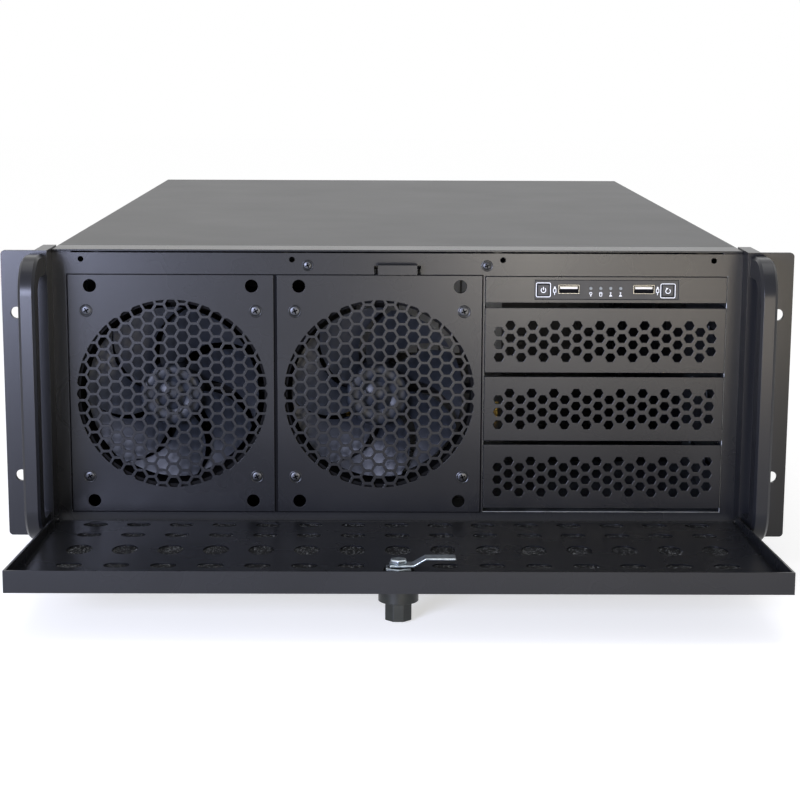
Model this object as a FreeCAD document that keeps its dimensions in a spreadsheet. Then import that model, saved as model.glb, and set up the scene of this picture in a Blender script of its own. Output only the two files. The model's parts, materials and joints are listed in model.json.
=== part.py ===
import FreeCAD, Part
import math
import os
import Sketcher

# A 4U rackmount server case, open at the front: the door is folded down.
# X points to the right seen from the front, Y to the back and Z up.
# The origin is the centre of the four rack holes, on the back face of the ears.
# Heights below are given from the underside of the case, and seat() lowers each
# sub-part so that the origin comes to the middle of the rack height.

doc = FreeCAD.newDocument("server_case")

# ---------------------------------------------------------------- driving sizes

SIZES = [
    ("rack_height", 177.8, "height of the ears, four rack units"),
    ("rack_hole_span", 465.1, "rack holes, centre to centre across"),
    ("rack_hole_rise", 101.6, "rack holes, centre to centre up"),
    ("rack_hole_dia", 7.2, "rack hole diameter"),
    ("rack_width", 482.6, "width over both ears"),
    ("ear_thick", 3.0, "front plate of an ear"),
    ("leg_thick", 8.0, "side leg of an ear"),
    ("leg_reach", 32.0, "side leg, from the back face of the ear"),
    ("ear_corner", 2.5, "outer corner radius of an ear"),
    ("case_width", 426.4, "outside width of the chassis"),
    ("case_height", 177.0, "outside height of the chassis"),
    ("case_depth", 650.0, "front panel face to rear panel face"),
    ("sheet", 1.2, "steel sheet thickness"),
    ("panel_setback", 16.2, "front panel face behind the face of the ears"),
    ("lip", 12.0, "folded lips of the tray and rails"),
    ("rail_depth", 26.0, "depth of the front top rail"),
    ("panel_top_gap", 0.8, "gap between the front panel and the top rail"),
    ("rear_flange", 14.0, "rear flange of the top cover"),
    ("fit_gap", 0.4, "gap round plates and covers set into openings"),
    ("plate_width", 127.6, "fan plate width"),
    ("plate_height", 150.2, "fan plate height"),
    ("plate_pitch", 129.2, "fan plate spacing"),
    ("plate_left", -140.2, "centre of the left fan plate"),
    ("plate_middle", 86.4, "height of the fan plate centres"),
    ("grille_dia", 119.0, "perforated circle of a fan plate"),
    ("cell_pitch", 8.1, "honeycomb spacing"),
    ("cell_flats", 6.8, "honeycomb cell across flats"),
    ("latch_hole_dia", 8.0, "corner holes of a fan plate"),
    ("latch_hole_span", 100.0, "corner holes across"),
    ("latch_hole_rise", 136.1, "corner holes up"),
    ("fan_size", 120.0, "fan frame side"),
    ("fan_deep", 25.0, "fan frame depth"),
    ("fan_bore", 115.0, "fan frame bore"),
    ("fan_hole_pitch", 105.0, "fan mounting holes"),
    ("fan_hole_dia", 4.4, "fan mounting hole diameter"),
    ("hub_dia", 42.0, "fan rotor hub"),
    ("hub_deep", 18.0, "fan rotor hub depth"),
    ("hub_gap", 0.4, "gap between the hub and the motor seat"),
    ("spigot_dia", 8.0, "bearing cap on the front of the hub"),
    ("spigot_high", 0.6, "height of the bearing cap"),
    ("blade_start", 4.0, "front edge of the blades behind the frame's face"),
    ("blade_low", 10.0, "blade root below the hub's axis"),
    ("blade_sweep", 8.0, "rise of the blade tip over its root"),
    ("blade_bury", 2.0, "blade root inside the hub"),
    ("corner_gap", 6.0, "clearance of the blades' corners from the bore"),
    ("tip_gap", 2.0, "gap between blade tips and bore"),
    ("blades", 7, "blades of a fan rotor"),
    ("blade_thick", 1.6, "blade thickness"),
    ("blade_pitch", 50.0, "blade slant from the fan axis, degrees"),
    ("blade_root", 20.0, "blade chord at the hub"),
    ("blade_tip", 24.5, "blade chord at the tip"),
    ("motor_dia", 38.0, "motor seat at the back of a fan frame"),
    ("strut_width", 6.0, "struts of a fan frame"),
    ("strut_deep", 3.0, "depth of the struts and motor seat"),
    ("bay_middle", 129.2, "centre of the drive bays across"),
    ("bay_width", 150.3, "drive bay opening, width"),
    ("bay_bottom", 11.3, "drive bay opening, lower edge"),
    ("bay_height", 150.0, "drive bay opening, height"),
    ("bay_pitch", 43.3, "spacing of the half-height bays"),
    ("cover_height", 40.8, "height of a bay cover"),
    ("cover_lift", 2.75, "first bay cover above the opening's lower edge"),
    ("cover_flange", 18.0, "side flanges of a bay cover"),
    ("cage_wall", 1.0, "drive cage sheet"),
    ("cage_deep", 150.0, "drive cage depth"),
    ("cage_slot", 30.0, "length and spacing of the cage's screw slots"),
    ("cage_slot_high", 4.0, "height of the cage's screw slots"),
    ("foot_deep", 15.0, "depth of a cage foot"),
    ("foot_inset", 25.0, "cage feet from the ends of the cage"),
    ("io_height", 16.4, "front connector strip height"),
    ("label_left", 85.2, "label panel, left edge"),
    ("label_width", 88.7, "label panel width"),
    ("label_bottom", 146.9, "label panel, lower edge"),
    ("label_height", 11.7, "label panel height"),
    ("usb_width", 13.1, "USB socket shell width"),
    ("usb_height", 5.7, "USB socket shell height"),
    ("usb_wall", 0.5, "USB socket shell wall"),
    ("tongue_gap", 1.0, "USB tongue from the shell's sides and mouth"),
    ("tongue_thick", 1.8, "USB tongue thickness"),
    ("usb_left", 106.1, "left USB socket centre"),
    ("usb_right", 152.5, "right USB socket centre"),
    ("usb_level", 153.1, "height of the USB sockets"),
    ("led_first", 119.7, "first indicator"),
    ("led_pitch", 6.15, "indicator spacing"),
    ("led_dia", 2.0, "indicator diameter"),
    ("led_level", 153.7, "height of the indicators"),
    ("power_at", 90.3, "power button centre"),
    ("reset_at", 167.4, "reset button centre"),
    ("button_side", 7.0, "side of a push button"),
    ("button_level", 152.5, "height of the push buttons"),
    ("button_travel", 1.0, "push button travel"),
    ("button_gap", 0.3, "gap round a push button"),
    ("proud", 0.3, "label panel behind the panel face, and buttons before it"),
    ("switch_side", 6.0, "side of a switch body"),
    ("switch_deep", 4.0, "depth of a switch body"),
    ("board_gap", 13.0, "front panel face to the connector board"),
    ("board_thick", 1.6, "circuit board thickness"),
    ("bar_width", 10.0, "handle bar width"),
    ("bar_deep", 13.0, "handle bar depth"),
    ("handle_reach", 36.0, "handle, from the face of the ear"),
    ("handle_height", 174.0, "handle height"),
    ("handle_at", 220.0, "handle centre from the middle"),
    ("handle_bend", 22.0, "outer bend of a handle"),
    ("arm_thick", 13.0, "handle arm thickness"),
    ("bar_edge", 1.6, "chamfer along a handle"),
    ("handle_screw_inset", 3.4, "handle screws from the end of a handle"),
    ("handle_screw_bite", 8.0, "handle screws inside a handle"),
    ("door_gap", 0.6, "gap between the door and the ear legs, each side"),
    ("door_length", 171.2, "door length"),
    ("door_flange", 12.3, "door flange height"),
    ("door_heel", 3.6, "side flange height at the hinge end"),
    ("hinge_drop", 2.0, "hinge axis above the outer face of the door"),
    ("hinge_inset", 3.2, "hinge axis from the lower edge of the door"),
    ("hinge_level", 9.3, "height of the hinge axis"),
    ("hinge_boss", 3.0, "radius of the hinge lug"),
    ("pin_dia", 2.8, "hinge pin diameter"),
    ("pin_play", 0.1, "hinge pin clearance on diameter"),
    ("pin_reach", 1.0, "hinge pin end inside the door flange"),
    ("door_tilt", 1.15, "open door, degrees above level"),
    ("filter_thick", 0.6, "filter mesh thickness"),
    ("retainer_thick", 0.8, "filter retainer sheet"),
    ("retainer_edge", 3.0, "retainer margin inside the door flanges"),
    ("nut_room", 2.0, "retainer hole round the lock nut"),
    ("flange_step", 2.0, "rise of the side flanges past the hinge lug"),
    ("lock_from_edge", 128.4, "lock axis from the lower edge of the door"),
    ("collar_dia", 22.5, "lock collar diameter"),
    ("collar_thick", 15.0, "lock collar thickness"),
    ("sleeve_dia", 12.0, "lock sleeve diameter"),
    ("sleeve_gap", 0.2, "hole clearance round the lock sleeve"),
    ("knob_dia", 16.0, "lock knob diameter"),
    ("knob_length", 10.5, "lock knob below the collar"),
    ("spindle_dia", 6.0, "lock spindle diameter"),
    ("spindle_play", 0.1, "lock spindle clearance on diameter"),
    ("nut_flats", 14.0, "lock nut across flats"),
    ("nut_thick", 3.0, "lock nut thickness"),
    ("cam_length", 32.0, "cam from its axis to its tip"),
    ("cam_width", 10.0, "cam width"),
    ("cam_thick", 1.5, "cam sheet thickness"),
    ("cam_rise", 4.1, "offset of the cam's crank"),
    ("cam_flat", 8.5, "cam, from its axis to the crank"),
    ("cam_crank", 7.0, "length of the crank"),
    ("cam_nut_flats", 9.0, "cam nut across flats"),
    ("cam_nut_thick", 2.8, "cam nut thickness"),
    ("cam_gap", 0.3, "gap between lock nut and cam"),
    ("catch_width", 24.0, "door catch width"),
    ("catch_reach", 9.2, "door catch, forward of the panel face"),
    ("catch_drop", 4.6, "lip of the door catch"),
    ("catch_thick", 1.2, "door catch thickness"),
    ("notch_width", 29.0, "notch in the front strip, width"),
    ("notch_height", 5.4, "notch in the front strip, height"),
    ("strip_hole_dia", 2.4, "small holes in the front strip"),
    ("strip_hole_pitch", 130.2, "spacing of the small holes"),
    ("strip_hole_level", 171.0, "height of the small holes"),
    ("strip_screw_at", 55.3, "strip screws from the middle"),
    ("strip_screw_level", 167.4, "height of the strip screws"),
    ("head_dia", 7.0, "screw head diameter"),
    ("head_thick", 1.5, "screw head thickness"),
    ("shank_dia", 3.8, "screw shank diameter"),
    ("screw_length", 8.0, "screw shank length"),
    ("short_screw", 4.2, "shank length of the strip screws"),
    ("psu_width", 150.0, "power supply opening, width"),
    ("psu_height", 86.0, "power supply opening, height"),
    ("psu_at", -128.0, "power supply opening, centre"),
    ("psu_bottom", 74.0, "power supply opening, lower edge"),
    ("psu_deep", 150.0, "depth of the power supply shelf"),
    ("shield_width", 158.75, "connector shield opening, width"),
    ("shield_height", 44.45, "connector shield opening, height"),
    ("shield_left", -205.0, "connector shield opening, left edge"),
    ("shield_bottom", 10.0, "connector shield opening, lower edge"),
    ("slot_pitch", 20.32, "expansion slot spacing"),
    ("slot_width", 13.0, "expansion slot opening, width"),
    ("slot_height", 105.0, "expansion slot opening, height"),
    ("slot_first", -24.0, "first expansion slot centre"),
    ("slot_bottom", 14.0, "expansion slot opening, lower edge"),
    ("slots", 7, "expansion slots"),
    ("slot_cover_width", 18.4, "slot cover width"),
    ("slot_cover_height", 118.0, "slot cover height"),
    ("slot_cover_thick", 0.9, "slot cover thickness"),
    ("slot_tab", 11.0, "bent tab of a slot cover"),
    ("slot_cover_foot", 3.0, "slot cover below its opening"),
    ("blank_thick", 1.0, "blanking plate thickness"),
    ("blank_lap", 4.0, "blanking plate past the edge of its opening"),
    ("standoff_dia", 6.0, "board standoff diameter"),
    ("standoff_height", 6.5, "board standoff height"),
    ("board_inset", 16.2, "rearmost standoffs before the rear panel"),
    ("board_side", 10.0, "first standoffs from the shield opening's edge"),
    ("board_span", 281.94, "standoffs, first to third column"),
    ("board_step", 157.48, "standoffs, first to second column"),
    ("board_row", 154.94, "standoffs, first to second row"),
    ("board_length", 227.33, "standoffs, first to third row"),
    ("brace_at", 330.0, "cross brace behind the front panel face"),
    ("brace_deep", 22.0, "cross brace depth"),
    ("brace_high", 16.0, "cross brace height"),
]

sizes = doc.addObject("Spreadsheet::Sheet", "sizes")
for row, (alias, value, note) in enumerate(SIZES, start=1):
    sizes.set("A%d" % row, note)
    sizes.set("B%d" % row, str(value))
    sizes.setAlias("B%d" % row, alias)
doc.recompute()


def size(alias):
    """The plain number in the cell with this alias."""
    return float(sizes.get(alias))


# ------------------------------------------------------------- building helpers

ALIASES = sorted((alias for alias, value, note in SIZES), key=len, reverse=True)
subparts = []


def spelled(text):
    """The expression with sizes. put before each alias."""
    words = []
    word = ""
    for letter in str(text) + " ":
        if letter.isalnum() or letter == "_":
            word += letter
        else:
            words.append("sizes." + word if word in ALIASES else word)
            words.append(letter)
            word = ""
    return "".join(words).strip()


def bind(thing, prop, text):
    """Bind a property to an expression written with the aliases."""
    thing.setExpression(prop, spelled(text))


def worth(text):
    """The value that an expression has now."""
    return float(sizes.evalExpression(spelled(text)))


def bind_place(thing, x, y, z):
    bind(thing, "Placement.Base.x", x)
    bind(thing, "Placement.Base.y", y)
    bind(thing, "Placement.Base.z", z)


def box(name, x, y, z):
    """A box from pairs of expressions: its low and its high end on each axis."""
    made = doc.addObject("Part::Box", name)
    bind(made, "Length", "(%s) - (%s)" % (x[1], x[0]))
    bind(made, "Width", "(%s) - (%s)" % (y[1], y[0]))
    bind(made, "Height", "(%s) - (%s)" % (z[1], z[0]))
    bind_place(made, x[0], y[0], z[0])
    return made


BACKWARD = FreeCAD.Rotation(FreeCAD.Vector(1, 0, 0), -90)
SIDEWAYS = FreeCAD.Rotation(FreeCAD.Vector(0, 1, 0), 90)
UPWARD = FreeCAD.Rotation()


def rod(name, x, y, z, dia, length, turn=BACKWARD, sides=0):
    """A cylinder, or a prism with that many sides, from x, y, z backward, sideways or upward."""
    made = doc.addObject("Part::Prism" if sides else "Part::Cylinder", name)
    if sides:
        made.Polygon = sides
    made.Placement.Rotation = turn
    bind(made, "Circumradius" if sides else "Radius", "(%s) / 2" % dia)
    bind(made, "Height", length)
    bind_place(made, x, y, z)
    return made


def fuse(name, shapes):
    made = doc.addObject("Part::MultiFuse", name)
    made.Shapes = shapes
    made.Refine = True
    return made


def cut(name, base, tools):
    made = doc.addObject("Part::Cut", name)
    made.Base = base
    made.Tool = tools[0] if len(tools) == 1 else fuse(name + "_tools", tools)
    return made


def group(name, shapes):
    made = doc.addObject("Part::Compound", name)
    made.Links = shapes
    return made


def seat(thing, label, x="0", y="0", z="0"):
    """Give a finished sub-part its label and its place, and keep it for export."""
    thing.Label = label
    bind_place(thing, x, y, "(%s) - rack_height / 2" % z)
    subparts.append(thing)
    return thing


def new_body(name):
    return doc.addObject("PartDesign::Body", name)


def plane_of(body, role):
    return [item for item in body.Origin.OriginFeatures if item.Role == role][0]


def new_sketch(body, role, name, offset="0"):
    sketch = body.newObject("Sketcher::SketchObject", name)
    sketch.AttachmentSupport = [(plane_of(body, role), "")]
    sketch.MapMode = "FlatFace"
    bind(sketch, "AttachmentOffset.Base.z", offset)
    return sketch


def outline(sketch, corners):
    """A closed outline through corners, each a pair of expressions."""
    first = sketch.GeometryCount
    points = [FreeCAD.Vector(worth(x), worth(y), 0) for x, y in corners]
    count = len(points)
    lines = [Part.LineSegment(points[i], points[(i + 1) % count]) for i in range(count)]
    sketch.addGeometry(lines, False)
    for i in range(count):
        following = first + (i + 1) % count
        sketch.addConstraint(Sketcher.Constraint("Coincident", first + i, 2, following, 1))
    for i, (x, y) in enumerate(corners):
        for kind, text, value in (("DistanceX", x, points[i].x), ("DistanceY", y, points[i].y)):
            number = sketch.addConstraint(
                Sketcher.Constraint(kind, -1, 1, first + i, 1, value))
            bind(sketch, "Constraints[%d]" % number, text)


def ring(sketch, x, y, dia):
    """A circle with its centre and diameter bound to expressions."""
    centre = FreeCAD.Vector(worth(x), worth(y), 0)
    number = sketch.addGeometry(Part.Circle(centre, FreeCAD.Vector(0, 0, 1), worth(dia) / 2), False)
    for kind, text, value in (("DistanceX", x, centre.x), ("DistanceY", y, centre.y)):
        constraint = sketch.addConstraint(Sketcher.Constraint(kind, -1, 1, number, 3, value))
        bind(sketch, "Constraints[%d]" % constraint, text)
    constraint = sketch.addConstraint(Sketcher.Constraint("Diameter", number, worth(dia)))
    bind(sketch, "Constraints[%d]" % constraint, dia)


def polygon(sketch, x, y, flats, sides):
    """An even outline bound to its width across flats; it stands for small round holes too."""
    corners = []
    half = 180.0 / sides
    for step in range(sides):
        angle = (2 * step + 1) * half
        corners.append(("%s + (%s) / 2 / cos(%.6g) * cos(%.6g)" % (x, flats, half, angle),
                        "%s + (%s) / 2 / cos(%.6g) * sin(%.6g)" % (y, flats, half, angle)))
    outline(sketch, corners)


def oblong(x0, x1, y0, y1):
    return [(x0, y0), (x1, y0), (x1, y1), (x0, y1)]


def pad(body, sketch, length, midplane=False, back=False):
    made = body.newObject("PartDesign::Pad", sketch.Name + "_pad")
    made.Profile = sketch
    bind(made, "Length", length)
    made.Midplane = midplane
    made.Reversed = back
    body.Tip = made
    return made


def pocket(body, sketch):
    """Cut right through the body, both ways from the sketch."""
    doc.recompute()
    before = body.Tip.Shape.Volume
    made = body.newObject("PartDesign::Pocket", sketch.Name + "_cut")
    made.Profile = sketch
    made.Type = "ThroughAll"
    made.Midplane = True
    body.Tip = made
    doc.recompute()
    if made.Shape.Volume >= before:
        raise RuntimeError(sketch.Name + " cuts nothing")
    return made


def dress(body, kind, prop, amount, name, chosen):
    """A fillet or chamfer on the edges of the tip that chosen() picks."""
    doc.recompute()
    base = body.Tip
    picked = [
        "Edge%d" % (number + 1)
        for number, edge in enumerate(base.Shape.Edges)
        if chosen(edge)
    ]
    made = body.newObject("PartDesign::" + kind, name)
    made.Base = (base, picked)
    bind(made, prop, amount)
    body.Tip = made
    return made


def runs_along(edge, axis):
    """True for a straight edge that is parallel to this axis."""
    if len(edge.Vertexes) != 2 or not isinstance(edge.Curve, Part.Line):
        return False
    return abs(edge.tangentAt(edge.FirstParameter).dot(axis)) > 0.999


X_AXIS = FreeCAD.Vector(1, 0, 0)
Y_AXIS = FreeCAD.Vector(0, 1, 0)
Z_AXIS = FreeCAD.Vector(0, 0, 1)

# Places that several pieces share, as expressions.
FACE = "panel_setback - ear_thick"
BEHIND = FACE + " + sheet"
BACK = FACE + " + case_depth"
WALL = "case_width / 2"
ROOF = "case_height - sheet"
SIDES = (("left", -1), ("right", 1))


# ---------------------------------------------------------------------- chassis

def make_chassis_tray():
    """Floor, both side walls and their inward top lips, folded from one sheet."""
    body = new_body("chassis_tray")
    sketch = new_sketch(body, "XZ_Plane", "tray_fold", "-(%s)" % BEHIND)
    half = WALL
    inner = WALL + " - sheet"
    tip = WALL + " - lip"
    outline(sketch, [
        ("-(%s)" % half, "0"), (half, "0"), (half, ROOF), (tip, ROOF),
        (tip, ROOF + " - sheet"), (inner, ROOF + " - sheet"), (inner, "sheet"),
        ("-(%s)" % inner, "sheet"), ("-(%s)" % inner, ROOF + " - sheet"),
        ("-(%s)" % tip, ROOF + " - sheet"), ("-(%s)" % tip, ROOF), ("-(%s)" % half, ROOF),
    ])
    pad(body, sketch, "case_depth - 2 * sheet", back=True)
    seat(body, "chassis_tray")


def make_top_rail():
    """The folded rail across the front of the roof, with a hanging back leg."""
    body = new_body("top_rail")
    sketch = new_sketch(body, "YZ_Plane", "rail_fold")
    rear = FACE + " + rail_depth"
    outline(sketch, [
        (FACE, ROOF), (rear + " - sheet", ROOF), (rear + " - sheet", ROOF + " - sheet - lip"),
        (rear, ROOF + " - sheet - lip"), (rear, "case_height"), (FACE, "case_height"),
    ])
    pad(body, sketch, "case_width - 2 * lip - 2 * fit_gap", midplane=True)
    corners = new_sketch(body, "YZ_Plane", "rail_ends")
    outline(corners, oblong(FACE, rear, ROOF, "case_height"))
    pad(body, corners, "case_width", midplane=True)
    seat(body, "top_rail")


def make_top_cover():
    """Flat cover that lies on the tray's lips, with a flange over the rear panel."""
    body = new_body("top_cover")
    sketch = new_sketch(body, "YZ_Plane", "cover_fold")
    outline(sketch, [
        (FACE + " + rail_depth + fit_gap / 2", ROOF), (BACK, ROOF),
        (BACK, "case_height - rear_flange"), (BACK + " + sheet", "case_height - rear_flange"),
        (BACK + " + sheet", "case_height"), (FACE + " + rail_depth + fit_gap / 2", "case_height"),
    ])
    pad(body, sketch, "case_width", midplane=True)
    seat(body, "top_cover")


def make_front_panel():
    """Face sheet with the fan and drive bay openings, the notch and the catch."""
    body = new_body("front_panel")
    top = ROOF + " - panel_top_gap"
    face = new_sketch(body, "XZ_Plane", "panel_face", "-(%s)" % FACE)
    outline(face, oblong("-" + WALL, WALL, "0", top))
    pad(body, face, "sheet", back=True)
    openings = new_sketch(body, "XZ_Plane", "panel_openings", "-(%s)" % FACE)
    outline(openings, oblong(
        "plate_left - plate_width / 2 - fit_gap",
        "plate_left + plate_pitch + plate_width / 2 + fit_gap",
        "plate_middle - plate_height / 2 - fit_gap",
        "plate_middle + plate_height / 2 + fit_gap"))
    outline(openings, oblong(
        "bay_middle - bay_width / 2", "bay_middle + bay_width / 2",
        "bay_bottom", "bay_bottom + bay_height"))
    pocket(body, openings)
    details = new_sketch(body, "XZ_Plane", "strip_holes", "-(%s)" % FACE)
    notch_low = "plate_middle + plate_height / 2 + fit_gap"
    outline(details, oblong(
        "-notch_width / 2", "notch_width / 2", notch_low, notch_low + " + notch_height"))
    for step in (-1.5, -0.5, 0.5, 1.5):
        polygon(details, "%s * strip_hole_pitch" % step, "strip_hole_level", "strip_hole_dia", 8)
    for side in (-1, 1):
        polygon(details, "%d * strip_screw_at" % side, "strip_screw_level", "shank_dia + fit_gap", 6)
    pocket(body, details)
    catch = new_sketch(body, "YZ_Plane", "catch_fold")
    shelf = notch_low + " + notch_height"
    tip = FACE + " - catch_reach"
    outline(catch, [
        (BEHIND, shelf), (BEHIND, shelf + " + catch_thick"), (tip, shelf + " + catch_thick"),
        (tip, shelf + " - catch_drop"), (tip + " + catch_thick", shelf + " - catch_drop"),
        (tip + " + catch_thick", shelf),
    ])
    pad(body, catch, "catch_width", midplane=True)
    seat(body, "front_panel")


def make_fan_bulkhead():
    """Inner sheet behind the face, with a round opening for each fan."""
    body = new_body("fan_bulkhead")
    right = "bay_middle - bay_width / 2 - cage_wall - fit_gap"
    sheet_face = new_sketch(body, "XZ_Plane", "bulkhead_face", "-(%s)" % BEHIND)
    outline(sheet_face, oblong(
        "-(%s) + sheet + fit_gap" % WALL, right, "sheet + fit_gap",
        ROOF + " - sheet - lip - fit_gap"))
    pad(body, sheet_face, "sheet", back=True)
    holes = new_sketch(body, "XZ_Plane", "bulkhead_holes", "-(%s)" % BEHIND)
    for step in (0, 1):
        centre = "plate_left + %d * plate_pitch" % step
        polygon(holes, centre, "plate_middle", "fan_bore + 2 * tip_gap", 32)
        for side in (-1, 1):
            for rise in (-1, 1):
                across = "%s + %d * fan_hole_pitch / 2" % (centre, side)
                up = "plate_middle + %d * fan_hole_pitch / 2" % rise
                polygon(holes, across, up, "fan_hole_dia", 6)
                across = "%s + %d * latch_hole_span / 2" % (centre, side)
                up = "plate_middle + %d * latch_hole_rise / 2" % rise
                polygon(holes, across, up, "latch_hole_dia + fit_gap", 8)
    pocket(body, holes)
    seat(body, "fan_bulkhead")


def make_rear_panel():
    """Rear sheet with the power supply, shield and slot openings."""
    body = new_body("rear_panel")
    face = new_sketch(body, "XZ_Plane", "rear_face", "-(%s - sheet)" % BACK)
    outline(face, oblong("-" + WALL, WALL, "0", ROOF))
    pad(body, face, "sheet", back=True)
    holes = new_sketch(body, "XZ_Plane", "rear_openings", "-(%s - sheet)" % BACK)
    outline(holes, oblong(
        "psu_at - psu_width / 2", "psu_at + psu_width / 2",
        "psu_bottom", "psu_bottom + psu_height"))
    outline(holes, oblong(
        "shield_left", "shield_left + shield_width",
        "shield_bottom", "shield_bottom + shield_height"))
    for number in range(int(size("slots"))):
        centre = "slot_first + %d * slot_pitch" % number
        outline(holes, oblong(
            centre + " - slot_width / 2", centre + " + slot_width / 2",
            "slot_bottom", "slot_bottom + slot_height"))
    pocket(body, holes)
    seat(body, "rear_panel")


def make_blank(name, x, z):
    """Removable plate on the outside of the rear panel, over one of its openings."""
    across = (x[0] + " - blank_lap", x[1] + " + blank_lap")
    up = (z[0] + " - blank_lap", z[1])
    seat(box(name, across, (BACK, BACK + " + blank_thick"), up), name, across[0], BACK, up[0])


def make_blanks():
    """Blanking plates: the upper one ends under the cover's flange."""
    make_blank("psu_blank", ("psu_at - psu_width / 2", "psu_at + psu_width / 2"),
               ("psu_bottom", "case_height - rear_flange - fit_gap"))
    make_blank("shield_blank", ("shield_left", "shield_left + shield_width"),
               ("shield_bottom", "shield_bottom + shield_height + blank_lap"))


def make_slot_covers():
    """One bent strip behind each expansion slot."""
    covers = []
    for number in range(int(size("slots"))):
        centre = "slot_first + %d * slot_pitch" % number
        across = (centre + " - slot_cover_width / 2", centre + " + slot_cover_width / 2")
        inside = BACK + " - sheet"
        low = "slot_bottom - slot_cover_foot"
        plate = box("slot_plate_%d" % number, across,
                    (inside + " - slot_cover_thick", inside),
                    (low, low + " + slot_cover_height"))
        tab = box("slot_tab_%d" % number, across, (inside + " - slot_tab", inside),
                  (low + " + slot_cover_height", low + " + slot_cover_height + slot_cover_thick"))
        covers.append(fuse("slot_cover_%d" % number, [plate, tab]))
    seat(group("slot_covers", covers), "slot_covers")


def make_drive_cage():
    """Open-ended sheet box behind the bay opening, with a slot row in each wall."""
    body = new_body("drive_cage")
    half = "bay_width / 2 - fit_gap"
    low = "bay_bottom + fit_gap"
    high = "bay_bottom + bay_height - fit_gap"
    sketch = new_sketch(body, "XZ_Plane", "cage_section", "-(%s)" % BEHIND)
    outline(sketch, oblong(
        "bay_middle - (%s) - cage_wall" % half, "bay_middle + (%s) + cage_wall" % half,
        low + " - cage_wall", high + " + cage_wall"))
    outline(sketch, oblong(
        "bay_middle - (%s)" % half, "bay_middle + (%s)" % half, low, high))
    pad(body, sketch, "cage_deep", back=True)
    rails = new_sketch(body, "YZ_Plane", "cage_slots")
    for number in range(3):
        level = low + " + (%d + 0.5) * bay_pitch" % number
        for start in (1, 3):
            outline(rails, oblong(
                BEHIND + " + %d * cage_slot" % start, BEHIND + " + %d * cage_slot" % (start + 1),
                level + " - cage_slot_high / 2", level + " + cage_slot_high / 2"))
    pocket(body, rails)
    seat(body, "drive_cage")


def make_cage_feet():
    """Two angle brackets that stand the drive cage on the floor."""
    feet = []
    low = "bay_bottom + fit_gap - cage_wall"
    for number, start in enumerate(("foot_inset", "cage_deep - foot_inset - foot_deep")):
        deep = (BEHIND + " + " + start, BEHIND + " + %s + foot_deep" % start)
        feet.append(box("cage_foot_%d" % number,
                        ("bay_middle - bay_width / 3", "bay_middle + bay_width / 3"),
                        deep, ("sheet", low)))
    seat(group("cage_feet", feet), "cage_feet")


def make_cross_brace():
    """Channel across the case that stiffens the roof and holds card tops."""
    body = new_body("cross_brace")
    sketch = new_sketch(body, "YZ_Plane", "brace_fold")
    top = ROOF + " - sheet"
    start = FACE + " + brace_at"
    end = start + " + brace_deep"
    outline(sketch, [
        (start, top + " - brace_high"), (start + " + sheet", top + " - brace_high"),
        (start + " + sheet", top + " - sheet"), (end + " - sheet", top + " - sheet"),
        (end + " - sheet", top + " - brace_high"), (end, top + " - brace_high"),
        (end, top), (start, top),
    ])
    pad(body, sketch, "case_width - 2 * sheet - fit_gap", midplane=True)
    seat(body, "cross_brace")


def make_psu_shelf():
    """Shelf on the left wall that carries the power supply."""
    body = new_body("psu_shelf")
    wall = "-(%s) + sheet" % WALL
    reach = "psu_at + psu_width / 2"
    sketch = new_sketch(body, "XZ_Plane", "shelf_fold", "-(%s - sheet - psu_deep)" % BACK)
    under = "psu_bottom - sheet"
    outline(sketch, [
        (wall, under), (reach, under), (reach, "psu_bottom"),
        (wall + " + sheet", "psu_bottom"), (wall + " + sheet", "psu_bottom + lip"),
        (wall, "psu_bottom + lip"),
    ])
    pad(body, sketch, "psu_deep", back=True)
    seat(body, "psu_shelf")


def make_board_standoffs():
    """Hexagonal posts for a full-size board, in its standard hole pattern."""
    posts = []
    for column, across in enumerate(("0", "board_step", "board_span")):
        for row, deep in enumerate(("0", "board_row", "board_length")):
            posts.append(rod("standoff_%d_%d" % (column, row), "shield_left + board_side + " + across,
                             BACK + " - sheet - board_inset - " + deep, "sheet", "standoff_dia",
                             "standoff_height", UPWARD, 6))
    seat(group("board_standoffs", posts), "board_standoffs")


# -------------------------------------------------------------------- fan plates

def honeycomb_centres():
    """Centres of the cells whose middle lies inside the perforated circle."""
    pitch = size("cell_pitch")
    column = pitch * math.cos(math.radians(30))
    reach = size("grille_dia") / 2 - size("cell_flats") / 2
    turns = int(size("grille_dia") / column) + 1
    centres = []
    for across in range(-turns, turns + 1):
        for up in range(-turns, turns + 1):
            x = across * column
            z = (up + 0.5 * (across % 2)) * pitch
            if math.hypot(x, z) <= reach + 0.6 * size("cell_flats") / 2:
                centres.append((x, z))
    return centres


def cell_wire(x, z, flats, sides=6):
    """An even outline with points to left and right, in a plane across Y."""
    corner = flats / 2 / math.cos(math.pi / sides)
    points = []
    for step in range(sides + 1):
        angle = 2 * math.pi * step / sides
        points.append(FreeCAD.Vector(x + corner * math.cos(angle), 0, z + corner * math.sin(angle)))
    return Part.makePolygon(points)


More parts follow.
